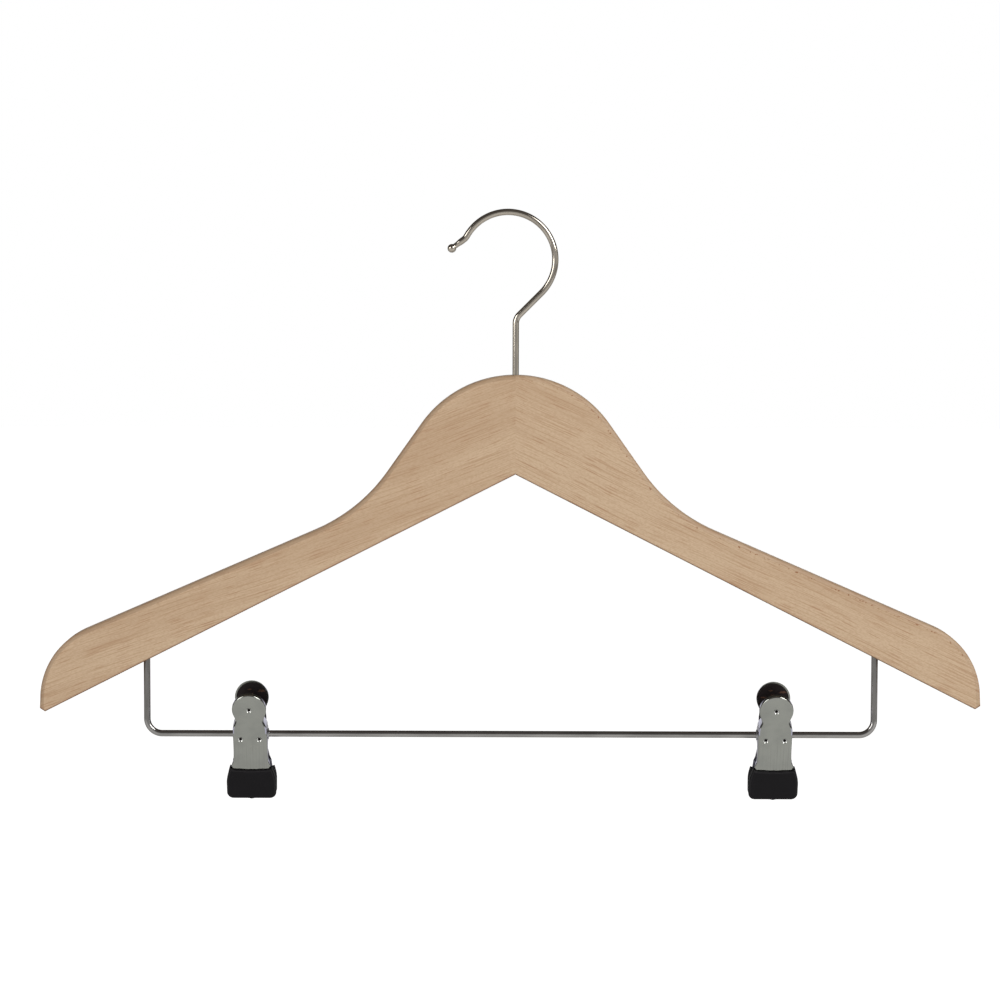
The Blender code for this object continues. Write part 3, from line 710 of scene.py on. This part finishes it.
# %% Bend the bar
BAR_DROP = 0.1730
BAR_LEVEL = DOME_TOP - BAR_DROP
BAR_BEND, CORNER_STEPS = 0.0072, 24
LEG_END_GAP = 0.0005
left_x, right_x = BAR_LEGS["left"], BAR_LEGS["right"]
ends = [Vector((x, 0, underside(x) + LEG_SEAT - LEG_END_GAP)) for x in (left_x, right_x)]
corners = [Vector((x, 0, BAR_LEVEL + BAR_BEND)) for x in (left_x + BAR_BEND, right_x - BAR_BEND)]
down = 1.5 * math.pi
path = [ends[0]] + arc(corners[0], BAR_BEND, math.pi, down, CORNER_STEPS)
path += arc(corners[1], BAR_BEND, down, 2 * math.pi, CORNER_STEPS) + [ends[1]]
bar = tube("chrome_trouser_bar", path, [BAR_WIRE / 2] * len(path), WIRE_SIDES)
place(bar, CHROME_WIRE, "chrome", "hanger", "trouser_bar", WIRE_LIMIT)

# %% [markdown]
# ## Pressed chrome
# The leaves of a clip are stamped from sheet and then plated. Outside they are bright, with a
# painted pale reflection and a painted dark reflection along the rounded edge, a painted dark
# reflection in each dimple with a painted highlight round it, and a painted lavender reflection
# on the outer sides. Inside they carry painted shade with painted glints, and a painted lavender
# reflection at the lower end. Each face says by a stored value whether it lies inside or on an
# outer side.
# Each point says how far the edge and the nearest dimple are and keeps its place in the leaf's own
# space, so that the faint flutes of the pressing run down the leaf however it leans.

# %% Mix the chrome of the leaves
LEAF_BRIGHT, LEAF_CLOUDED = paint(161, 163, 156), paint(153, 155, 149)
LEAF_FLUTED = paint(140, 140, 136)
# A painted highlight, a painted dark reflection and a painted lavender reflection.
PIT_GLINT, PAINTED_DARK_REFLECTION, PAINTED_LAVENDER_REFLECTION = paint(250, 250, 248), paint(26, 23, 22), paint(190, 190, 208)
# Painted shade for the inside of the pan, with painted warm glints.
INSIDE_PAINTED_SHADE, INSIDE_GLINT = paint(64, 58, 58), paint(150, 112, 92)
PIT_PAINTED_CENTRE, PIT_RING, PIT_ROUGH = (0.0006, 0.0009), (0.0007, 0.0009, 0.0010, 0.0013), (0.0009, 0.0014)
EDGE_WIDTH = (0.0005, 0.0008)
FLUTE_TOP, INSIDE_PALE = (-0.0040, 0.0010), (-0.0095, -0.0065)
PALE_STRETCH, DARK_STRETCH = (0.0035, 0.0045, 0.0072, 0.0080), (0.0076, 0.0084, 0.0100, 0.0115)


def pressed_chrome(name):
    """Bright plated sheet with painted reflections and highlights, and painted shade on the side
    that faces the bar.
    """
    material, wires, shader = finish(name, 1.0, 0.16)
    own = stored(wires, "own_place", "Vector")
    inside, outer_side = stored(wires, "inside"), stored(wires, "outer_side")
    pit, bevel = stored(wires, "pit"), stored(wires, "edge").fall(*EDGE_WIDTH)
    level = own.axis("Z")
    cloud = own.noise((120, 120, 120), 3.0).rise(0.35, 0.7)
    scratch = own.noise((1800, 1800, 260), 2.0)
    flutes = own.noise((1300, 1, 12), 1.0).rise(0.52, 0.64) * level.fall(*FLUTE_TOP)
    colour = cloud.tint(LEAF_BRIGHT, LEAF_CLOUDED)
    colour = (flutes * 0.40).tint(colour, LEAF_FLUTED)
    # Painted highlight: a bright ring round each dimple.
    colour = (pit.band(*PIT_RING) * 0.6).tint(colour, PIT_GLINT)
    # Painted dark reflection in the middle of each dimple.
    colour = pit.fall(*PIT_PAINTED_CENTRE).tint(colour, PAINTED_DARK_REFLECTION)
    # Painted lavender reflection on the rounded edge at the shoulders, painted dark reflection on
    # it at the neck.
    colour = (bevel * level.band(*PALE_STRETCH)).tint(colour, PAINTED_LAVENDER_REFLECTION)
    colour = (bevel * level.band(*DARK_STRETCH) * 0.85).tint(colour, PAINTED_DARK_REFLECTION)
    # Painted lavender reflection on the outer sides of lips, walls and ears.
    colour = outer_side.tint(colour, PAINTED_LAVENDER_REFLECTION)
    # Painted shade with painted glints inside the pan.
    glints = own.noise((240, 240, 700), 2.0).rise(0.58, 0.68)
    painted_inside_shade = (glints * 0.6).tint(INSIDE_PAINTED_SHADE, INSIDE_GLINT)
    # Painted lavender reflection inside, towards the lower end.
    colour = (inside * level.fall(*INSIDE_PALE)).tint(colour, PAINTED_LAVENDER_REFLECTION)
    shaded = inside * level.rise(*INSIDE_PALE)
    wires.feed(shader.inputs["Base Color"], shaded.tint(colour, painted_inside_shade))
    gloss = 0.15 + inside * 0.20 + pit.fall(*PIT_ROUGH) * 0.22
    wires.feed(shader.inputs["Roughness"], gloss + (scratch - 0.5) * 0.08)
    roughen(shader, scratch * 0.1 + flutes, 0.12, 0.00006)
    return material


LEAF_CHROME = pressed_chrome("pressed_chrome")
RIVET_CHROME = plated("rivet_chrome", paint(200, 200, 200), 0.16, 0.06)
print(f"{len(LEAF_CHROME.node_tree.nodes)} nodes in the pressed chrome")

# %% [markdown]
# ## A leaf of the clip
# A leaf is a shallow pan: its face, lips that turn back, and two pierced ears. It is cut from a
# rounded slab, from the side and from behind, and its small dimples are cut with balls.

# %% Outline of a leaf
SHEET = 0.0008
SPREAD, TILT = math.radians(10), math.radians(11)
HEAD_TOP, HEAD_RADIUS, HEAD_LEAVE = 0.0249, 0.00815, math.radians(-25)
NECK_HEIGHT, NECK_HALF = 0.0115, 0.0066
SHOULDER_HEIGHT, BODY_HALF = 0.0060, 0.0081
WAIST_DROP, WAIST_HALF = 0.0105, 0.00825
BOOT_TOP, FLARE_HALF = 0.0144, 0.0094
JAW_WIDE_DROP, JAW_HALF = 0.0235, 0.0107
JAW_DROP, JAW_CORNER = 0.0301, 0.0024
LEAF_ROUND = 0.0008
SHOULDER_WALL = 0.0050
EAR_RADIUS, EAR_SWING, WALLED_EAR_SWING = 0.0042, math.radians(100), math.radians(75)
HEAD_LIP, BODY_LIP, LIP_END = 0.0016, 0.0013, 0.0006
BOOT_WALL, POCKET_GAP, BOOT_END, BOOT_ROUND = 0.0010, 0.0002, 0.0012, 0.0009
BOOT_HALF_THICK = SHEET / 2 + POCKET_GAP + BOOT_WALL
BOOT_HALF_GAP, EAR_GAP = 0.00015, 0.0003
LEAF_OFFSET = (JAW_DROP + BOOT_END - BOOT_ROUND) * math.tan(SPREAD) + BOOT_HALF_THICK
LEAF_OFFSET += BOOT_HALF_GAP / math.cos(SPREAD)
LEAF_FACE = LEAF_OFFSET - SHEET / 2
REAR_NARROWING = SHEET + EAR_GAP
RIVET_RADIUS = 0.0022
HEAD_STEPS, EASE_STEPS = 32, 10
MIDDLE_WIDTH = 0.00001


def ease(start, end, steps):
    """Points between two half widths and heights that leave and arrive upright."""
    (x, z), (end_x, end_z) = start, end
    points = []
    for i in range(1, steps + 1):
        share = (1 - math.cos(math.pi * i / steps)) / 2
        points.append((x + (end_x - x) * share, z + (end_z - z) * i / steps))
    return points


def leaf_half(inset, narrowing):
    """Right half of a leaf from its top down, as half width and height along the leaf."""
    radius, half = HEAD_RADIUS - inset, []
    for a in between(math.pi / 2, HEAD_LEAVE, HEAD_STEPS):
        half.append((radius * math.cos(a), HEAD_TOP - HEAD_RADIUS + radius * math.sin(a)))
    body = BODY_HALF - narrowing - inset
    half.append((min(NECK_HALF - inset, body), NECK_HEIGHT))
    half += ease(half[-1], (body, SHOULDER_HEIGHT), EASE_STEPS)
    half += [(body, -SHOULDER_HEIGHT), (WAIST_HALF - inset, -WAIST_DROP)]
    half += ease(half[-1], (FLARE_HALF - inset, -BOOT_TOP), EASE_STEPS)
    half.append((JAW_HALF - inset, -JAW_WIDE_DROP))
    return half


def corner(half_width, bottom, radius, steps):
    """A rounded lower right corner, from its side to its bottom edge."""
    points = []
    for a in between(0, math.pi / 2, steps):
        x, z = half_width - radius * (1 - math.cos(a)), bottom + radius * (1 - math.sin(a))
        points.append((x, z))
    return points


def both_sides(half):
    """Close a right half with its mirror image, without a second point on the middle line."""
    return half + [(-x, z) for x, z in reversed(half) if x > MIDDLE_WIDTH]


def leaf_outline(inset, narrowing):
    """A leaf seen from the front, drawn in by an inset."""
    lower = corner(JAW_HALF - inset, inset - JAW_DROP, JAW_CORNER - inset, EASE_STEPS)
    return both_sides(leaf_half(inset, narrowing) + lower)


def at_depth(outline, y):
    """A flat outline as points in space, all equally deep."""
    return [Vector((x, y, z)) for x, z in outline]


print(f"{len(leaf_outline(0, 0))} points round a leaf")

# %% [markdown]
# ## Cutting a leaf
# Seen from the side, a leaf is its face with low lips and two ears behind it, and on the front
# leaf with deeper walls at the shoulders. So one cutter takes away what lies behind them, and
# another hollows the pan. The rivet's hole and the dimples come last.

# %% Cutters that shape a leaf
SIDE_REACH = JAW_HALF + OVERRUN
EAR_STEPS, EDGE_STEPS = 32, 6
FRONT_WALL = ((SHOULDER_WALL - LEAF_FACE, NECK_HEIGHT), WALLED_EAR_SWING)
REAR_WALL = ((BODY_LIP - LEAF_FACE, SHOULDER_HEIGHT + BODY_LIP), EAR_SWING)


def behind_leaf(name, ear_top, ear_swing):
    """What is cut away behind a leaf, so that lips, walls and ears are left."""
    behind = LEAF_OFFSET + EAR_RADIUS
    head_lip, body_lip = HEAD_LIP - LEAF_FACE, BODY_LIP - LEAF_FACE
    lip_end = LIP_END - BOOT_TOP
    top, bottom = HEAD_TOP + OVERRUN, -JAW_DROP - OVERRUN
    outline = [(behind, bottom), (behind, top), (head_lip, top), (body_lip, NECK_HEIGHT), ear_top]
    for a in between(ear_swing, -EAR_SWING, EAR_STEPS):
        outline.append((EAR_RADIUS * math.cos(a), EAR_RADIUS * math.sin(a)))
    outline += [(body_lip, lip_end + BODY_LIP), (-LEAF_FACE, lip_end), (-LEAF_FACE, bottom)]
    return block(name, outline, 0, -SIDE_REACH, SIDE_REACH)


def pan_hollow(name, narrowing):
    """The inside of the pan."""
    half = leaf_half(SHEET, narrowing)
    half.append((half[-1][0], -JAW_DROP - OVERRUN))
    return block(name, both_sides(half), 1, -LEAF_FACE, EAR_RADIUS + 2 * OVERRUN)


DIMPLE_RADIUS, DIMPLE_DEPTH, DIMPLE_SPREAD = 0.0013, 0.0006, 0.0045
HEAD_DIMPLE, BODY_DIMPLE = 0.0168, 0.0009
DIMPLES = ((0, HEAD_DIMPLE), (-DIMPLE_SPREAD, BODY_DIMPLE), (DIMPLE_SPREAD, BODY_DIMPLE))
BALL_COLUMNS, BALL_ROWS = 40, 28


def dimple(name, x, z):
    """A ball that leaves a dimple of the wanted width and depth in the outer face."""
    radius = (DIMPLE_RADIUS ** 2 + DIMPLE_DEPTH ** 2) / 2 / DIMPLE_DEPTH
    bm = bmesh.new()
    bmesh.ops.create_uvsphere(bm, u_segments=BALL_COLUMNS, v_segments=BALL_ROWS, radius=radius)
    depth = -LEAF_OFFSET - SHEET / 2 - radius + DIMPLE_DEPTH
    bmesh.ops.translate(bm, verts=bm.verts, vec=(x, depth, z))
    mesh = bpy.data.meshes.new(name)
    bm.to_mesh(mesh)
    bm.free()
    obj = bpy.data.objects.new(name, mesh)
    bpy.context.scene.collection.objects.link(obj)
    return obj


def store_leaf(obj, narrowing):
    """Store places in the leaf's own space, what lies inside, and how near edge and dimples are."""
    remember(obj, [v.co for v in obj.data.vertices])
    outline = leaf_outline(0, narrowing)
    centres = np.array([face.center for face in obj.data.polygons])
    normals = np.array([face.normal for face in obj.data.polygons])
    gaps = gaps_round(centres[:, (0, 2)], outline)
    behind_face = centres[:, 1] > -LEAF_FACE
    pan_floor = (normals[:, 1] > 0.9) & (np.abs(centres[:, 1] + LEAF_FACE) < SHEET / 8)
    inner_wall = behind_face & (gaps > 0.9 * SHEET) & (np.abs(normals[:, 1]) < 0.5)
    outer_side = behind_face & (gaps < 0.3 * SHEET) & (np.abs(normals[:, 0]) > 0.7)
    store(obj, "inside", pan_floor + 0.5 * inner_wall, "FACE")
    store(obj, "outer_side", outer_side, "FACE")
    places = np.array(flat_points(obj))
    pits = [np.hypot(*(places - np.array(spot)).T) for spot in DIMPLES]
    store(obj, "pit", np.minimum.reduce(pits))
    store(obj, "edge", gaps_round(places, outline))


def leaf(name, narrowing, wall):
    """One leaf in its own space: its face looks along -Y, and it runs up along Z."""
    outer = -LEAF_OFFSET - SHEET / 2
    rings = []
    for a in between(0, math.pi / 2, EDGE_STEPS):
        inset, y = LEAF_ROUND * (1 - math.sin(a)), outer + LEAF_ROUND * (1 - math.cos(a))
        rings.append(at_depth(leaf_outline(inset, narrowing), y))
    rings.append(at_depth(leaf_outline(0, narrowing), EAR_RADIUS + OVERRUN))
    made = skin(name, rings)
    hole = circle((0, 0), RIVET_RADIUS + BORE_GAP, BORE_SIDES)
    hole = block("hole", hole, 0, -SIDE_REACH, SIDE_REACH)
    cutters = [behind_leaf("behind", *wall), pan_hollow("hollow", narrowing), hole]
    cutters += [dimple("dimple", x, z) for x, z in DIMPLES]
    carve(made, cutters)
    store_leaf(made, narrowing)
    return made


print(f"A leaf's middle lies {LEAF_OFFSET * 1000:.2f} mm from its hinge")

# %% [markdown]
# ## The dipped boots
# The jaws are dipped in soft vinyl. It draws back a little in the middle of its upper edge, leaves
# a small drip at the bottom and rounds every corner.

# %% Mix the vinyl and shape a boot
VINYL_BLACK, VINYL_SMEARED, VINYL_PAINTED_HIGHLIGHT = paint(11, 9, 12), paint(15, 13, 16), paint(52, 50, 52)
RIM_LINE = (0.0003, 0.0006, 0.0007, 0.0011)


def dipped_vinyl(name):
    """Soft black vinyl with a fine orange-peel surface and a painted highlight line round its edge.
    """
    material, wires, shader = finish(name, 0.0, 0.5)
    shader.inputs["Specular IOR Level"].default_value = 0.18
    here = wires.node("ShaderNodeTexCoord", output="Object")
    peel = here.noise((900, 900, 900), 3.0)
    smear = here.noise((180, 180, 90), 2.0)
    line = stored(wires, "rim").band(*RIM_LINE)
    colour = smear.rise(0.3, 0.7).tint(VINYL_BLACK, VINYL_SMEARED)
    # Painted highlight: a paler line just inside the boot's rounded edge.
    wires.feed(shader.inputs["Base Color"], (line * 0.35).tint(colour, VINYL_PAINTED_HIGHLIGHT))
    wires.feed(shader.inputs["Roughness"], 0.46 + smear * 0.14)
    roughen(shader, peel, 0.15, 0.00004)
    return material


VINYL = dipped_vinyl("dipped_vinyl")
BOOT_TOP_HALF, BOOT_HALF, BOOT_WIDE_DROP = 0.0099, 0.0119, 0.0230
BOOT_CORNER, REAR_BOOT_LOWERING = 0.0032, 0.0020
BOOT_SIDE_RISE, BOOT_SAG, BOOT_RIPPLE = -0.0002, 0.0010, 0.00012
DRIP_LENGTH, DRIP_HALF = 0.00035, 0.0009
BOOT_FLAT_INSETS = (0.0004, 0.0012)
BOOT_STEPS, BOOT_EDGE_STEPS = 12, 7


def boot_flank(share):
    """A point of the boot's side, from the level of its open top to where it is widest."""
    x = BOOT_TOP_HALF + (BOOT_HALF - BOOT_TOP_HALF) * math.sin(share * math.pi / 2)
    return x, -BOOT_TOP - (BOOT_WIDE_DROP - BOOT_TOP) * share


def boot_outline(inset, lowering):
    """A boot from the middle of its wavy upper edge round to its drip."""
    start = (lowering - BOOT_SIDE_RISE) / (BOOT_WIDE_DROP - BOOT_TOP)
    side_x, side_z = boot_flank(start)
    half = []
    for share in between(0, 1, BOOT_STEPS):
        sag = BOOT_SAG * (1 - share ** 5) + BOOT_RIPPLE * math.sin(share * 9)
        half.append(((side_x - inset) * share, side_z - inset - sag))
    for i in range(1, BOOT_STEPS + 1):
        x, z = boot_flank(start + (1 - start) * i / BOOT_STEPS)
        half.append((x - inset, z - inset * (1 - i / BOOT_STEPS)))
    bottom = inset - JAW_DROP - BOOT_END
    half += corner(BOOT_HALF - inset, bottom, BOOT_CORNER - inset, BOOT_STEPS)
    width = half[-1][0]
    for share in between(0, 1, BOOT_STEPS)[1:]:
        x = width * (1 - share)
        half.append((x, bottom - DRIP_LENGTH * math.exp(-((x / DRIP_HALF) ** 2))))
    return both_sides(half)


def boot_side(side, lowering):
    """Rings of one rounded face of a boot, from its flat middle out to its widest."""
    flat = -LEAF_OFFSET + side * BOOT_HALF_THICK
    insets = [BOOT_ROUND + extra for extra in reversed(BOOT_FLAT_INSETS)]
    rings = [at_depth(boot_outline(inset, lowering), flat) for inset in insets]
    for a in between(0, math.pi / 2, BOOT_EDGE_STEPS):
        y = -LEAF_OFFSET + side * (BOOT_HALF_THICK - BOOT_ROUND * (1 - math.cos(a)))
        rings.append(at_depth(boot_outline(BOOT_ROUND * (1 - math.sin(a)), lowering), y))
    return rings


def boot(name, lowering):
    """One boot in its leaf's space, with the pocket for the jaw."""
    made = skin(name, boot_side(-1, lowering) + list(reversed(boot_side(1, lowering))))
    near = -LEAF_OFFSET - SHEET / 2 - POCKET_GAP
    far = -LEAF_OFFSET + SHEET / 2 + POCKET_GAP
    carve(made, [block("pocket", leaf_outline(-POCKET_GAP, 0), 1, near, far)])
    store(made, "rim", gaps_round(flat_points(made), boot_outline(0, lowering)))
    return made


print(f"A boot is {BOOT_HALF_THICK * 2000:.1f} mm thick")

# %% [markdown]
# ## Rivet and spring
# A hollow rivet joins the leaves and slides on the bar. A spring of a few close turns is wound
# round it, and its two ends press the heads of the leaves apart.

# %% Shape the rivet and the spring
RIVET_BORE, FLARE_RADIUS = 0.0018, 0.0027
FLARE_GAP, FLARE_WIDTH, FLARE_BEVEL = 0.0002, 0.0003, 0.0001
SPRING_WIRE, SPRING_PITCH, SPRING_TURNS = 0.0009, 0.0015, 6
SPRING_GAP, SPRING_LEG, SPRING_LEG_GAP = 0.0003, 0.0105, 0.0002
SPRING_RADIUS = RIVET_RADIUS + SPRING_GAP + SPRING_WIRE / 2
TURN_POINTS, SPRING_SIDES = 28, 14


def rivet(name):
    """A tube on the bar whose ends are flared outside the front leaf's ears."""
    seat = BODY_HALF + FLARE_GAP
    end = seat + FLARE_WIDTH
    half = [(RIVET_BORE, end), (FLARE_RADIUS - FLARE_BEVEL, end), (FLARE_RADIUS, end - FLARE_BEVEL)]
    half += [(FLARE_RADIUS, seat), (RIVET_RADIUS, seat)]
    return ring(name, half + [(radius, -x) for radius, x in reversed(half)], 0)


def spring(name):
    """The torsion spring in the clip's space: a leg, a coil and a leg."""
    reach = LEAF_FACE - SPRING_WIRE / 2 - SPRING_LEG_GAP
    front = Matrix.Rotation(SPREAD, 3, "X") @ Vector((0, -reach, SPRING_LEG))
    swing = math.acos(SPRING_RADIUS / math.hypot(front.y, front.z))
    first = math.atan2(front.z, front.y) + swing
    last = math.atan2(front.z, -front.y) - swing + 2 * math.pi * (SPRING_TURNS + 1)
    turns = (last - first) / (2 * math.pi)
    half_length = turns * SPRING_PITCH / 2
    steps = math.ceil(turns * TURN_POINTS)
    points = [Vector((-half_length, front.y, front.z))]
    for i, a in enumerate(between(first, last, steps)):
        x = half_length * (2 * i / steps - 1)
        points.append(Vector((x, SPRING_RADIUS * math.cos(a), SPRING_RADIUS * math.sin(a))))
    points.append(Vector((half_length, -front.y, front.z)))
    return tube(name, points, [SPRING_WIRE / 2] * len(points), SPRING_SIDES)


print(f"The spring is wound {SPRING_RADIUS * 1000:.2f} mm from the bar's middle")

# %% [markdown]
# ## Two clips on the bar
# Each leaf is made in its own space and then set in the clip: spread from the middle plane, and
# the whole clip leaning towards the viewer as it hangs in the picture. The mesh itself is moved,
# not the object, so that every piece's box lies along the same axes as the hanger's. The spring is
# set in the clip's space, and no body carries it.

# %% Assemble the clips
CLIP_PLACES = {"left": -0.1269, "right": 0.1250}
LEAF_LIMIT = math.radians(30)
FRONT_LEAF = ("front", 0, 0, FRONT_WALL, 0)
REAR_LEAF = ("rear", math.pi, REAR_NARROWING, REAR_WALL, REAR_BOOT_LOWERING)
for word, x in CLIP_PLACES.items():
    clip_space = Matrix.Translation((x, 0, BAR_LEVEL)) @ Matrix.Rotation(TILT, 4, "X")
    joint = rivet(f"{word}_hollow_rivet")
    joint.data.transform(clip_space)
    place(joint, RIVET_CHROME, "chrome", f"{word}_clip_slider", f"{word}_pivot_rivet")
    coil = spring(f"{word}_coil_spring")
    legs = max(v.co.x for v in coil.data.vertices) - SPRING_WIRE
    coil.data.transform(clip_space)
    dress(coil, SPRING_STEEL, f"{word}_torsion_spring")
    ends = [(x + legs, 0, BAR_LEVEL), (x - legs, 0, BAR_LEVEL)]
    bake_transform(coil)
    for which, turn, narrowing, wall, lowering in (FRONT_LEAF, REAR_LEAF):
        space = clip_space @ Matrix.Rotation(turn, 4, "Z") @ Matrix.Rotation(SPREAD, 4, "X")
        body = f"{word}_clip_{which}"
        pan = leaf(f"{word}_{which}_leaf", narrowing, wall)
        pan.data.transform(space)
        place(pan, LEAF_CHROME, "chrome", body, f"{word}_{which}_jaw", LEAF_LIMIT)
        dip = boot(f"{word}_{which}_dip", lowering)
        dip.data.transform(space)
        place(dip, VINYL, "vinyl", body, f"{word}_{which}_boot")

# %% [markdown]
# ## Floor
# The picture has a plain white ground. The floor adds light of its own for the camera, so that it
# comes out white and still takes the shadow, and a little of it for mirrored light.

# %% Lay the floor
FLOOR_LEVEL, FLOOR_SIDE, FLOOR_NEAR, FLOOR_FAR = -0.62, 6, -4, 9
FLOOR_GREY = (0.82, 0.82, 0.82, 1.0)
GLOW_SEEN, GLOW_MIRRORED = 0.95, 0.25


def ray_kinds(wires):
    """Three wires: 1 for what is seen straight, through glass, or mirrored."""
    seen = wires.node("ShaderNodeLightPath", output="Is Camera Ray")
    through = wires.node("ShaderNodeLightPath", output="Is Transmission Ray")
    mirrored = wires.node("ShaderNodeLightPath", output="Is Glossy Ray")
    return seen, through, mirrored


floor_mesh = bpy.data.meshes.new("studio_floor")
floor_ends = [(-FLOOR_SIDE, FLOOR_NEAR), (FLOOR_SIDE, FLOOR_NEAR)]
floor_ends += [(FLOOR_SIDE, FLOOR_FAR), (-FLOOR_SIDE, FLOOR_FAR)]
floor_mesh.from_pydata([(x, y, FLOOR_LEVEL) for x, y in floor_ends], [], [(0, 1, 2, 3)])
floor = bpy.data.objects.new("studio_floor", floor_mesh)
bpy.context.scene.collection.objects.link(floor)
paper, wires, shader = finish("studio_paper", 0.0, 0.9)
shader.inputs["Base Color"].default_value = FLOOR_GREY
seen, through, mirrored = ray_kinds(wires)
lit = (seen + through) * GLOW_SEEN + mirrored * GLOW_MIRRORED
glow = wires.node("ShaderNodeEmission", {}, {"Strength": lit})
surface = Wire(paper.node_tree, shader.outputs[0])
both = wires.node("ShaderNodeAddShader", {}, {0: surface, 1: glow})
wires.feed(paper.node_tree.nodes["Material Output"].inputs["Surface"], both)
floor_mesh.materials.append(paper)
print(f"The floor lies {-FLOOR_LEVEL:.2f} m below the hanging point")

# %% [markdown]
# ## Surroundings
# Metal is only as good as what it mirrors. In front of the hanger the room is grey, to the sides
# it is pale and overhead dark. A dark belt between the sides and the back gives upright wires
# their dark outer lines. The camera sees white instead, and so does light through glass. Mirrored
# light sees that white where it lies, straight behind the hanger.

# %% Paint the world
GREY_FRONT, PALE_SIDE = (0.535, 0.535, 0.545, 1.0), (0.74, 0.73, 0.70, 1.0)
DARK_ABOVE, DARK_BELT = (0.12, 0.11, 0.105, 1.0), (0.05, 0.045, 0.04, 1.0)
WHITE = (1.0, 1.0, 1.0, 1.0)
ASIDE, ABOVE, BELT, BACKDROP = (0.72, 0.84), (0.04, 0.34), (0.10, 0.26), (0.76, 0.95)
world = bpy.data.worlds.new("studio")
bpy.context.scene.world = world
world.use_nodes = True
wires = Wire(world.node_tree)
toward = wires.node("ShaderNodeTexCoord", output="Generated")
depth = toward.axis("Y")
aside = wires.sum("ABSOLUTE", toward.axis("X"), 0.0)
room = aside.rise(*ASIDE).tint(GREY_FRONT, PALE_SIDE)
room = toward.axis("Z").rise(*ABOVE).tint(room, DARK_ABOVE)
room = depth.rise(*BELT).tint(room, DARK_BELT)
seen, through, mirrored = ray_kinds(wires)
sky = (seen + through + mirrored * depth.rise(*BACKDROP)).tint(room, WHITE)
wires.feed(world.node_tree.nodes["Background"].inputs["Color"], sky)
print(f"{len(world.node_tree.nodes)} nodes in the world")

# %% [markdown]
# ## Lamps
# Two soft boxes light the hanger: the stronger one high on the right, which leaves the rounded
# edges on the left darker, as in the picture, and a weaker one on the left.

# %% Set the lamps
LIT_SPOT = Vector((0, 0, -0.14))


def softbox(name, spot, width, height, power):
    """A rectangular lamp that looks at the middle of the hanger."""
    light = bpy.data.lights.new(name, "AREA")
    light.shape = "RECTANGLE"
    light.size, light.size_y, light.energy = width, height, power
    obj = bpy.data.objects.new(name, light)
    obj.location = spot
    away = Vector(spot) - LIT_SPOT
    obj.rotation_euler = away.to_track_quat("Z", "Y").to_euler()
    bpy.context.scene.collection.objects.link(obj)


softbox("right_softbox", (1.25, -1.15, 0.85), 0.9, 1.2, 24.5)
softbox("left_softbox", (-1.5, -1.2, 0.45), 0.8, 1.1, 13)
print("Two soft boxes")

# %% [markdown]
# ## Camera
# The clips show their rear heads above the front ones, so the camera looks slightly down. How far
# they shift to the sides tells that it stands about a metre and a half away.

# %% Set the camera
LOOK_DOWN, ROLL = math.radians(4.6), math.radians(0.16)
DISTANCE, FIELD, SENSOR = 1.5, 0.4788, 36.0
TARGET = Vector((-0.0073, 0, -0.1355))
camera = bpy.data.objects.new("camera", bpy.data.cameras.new("camera"))
camera.data.sensor_width = SENSOR
camera.data.lens = SENSOR * DISTANCE / FIELD
back = Vector((0, -math.cos(LOOK_DOWN), math.sin(LOOK_DOWN)))
camera.location = TARGET + DISTANCE * back
roll = Matrix.Rotation(ROLL, 3, back)
facing = back.to_track_quat("Z", "Y").to_matrix()
camera.rotation_euler = (roll @ facing).to_euler()
bpy.context.scene.collection.objects.link(camera)
bpy.context.scene.camera = camera
bpy.context.scene.view_settings.view_transform = "Standard"
print(f"Lens {camera.data.lens:.1f} mm")
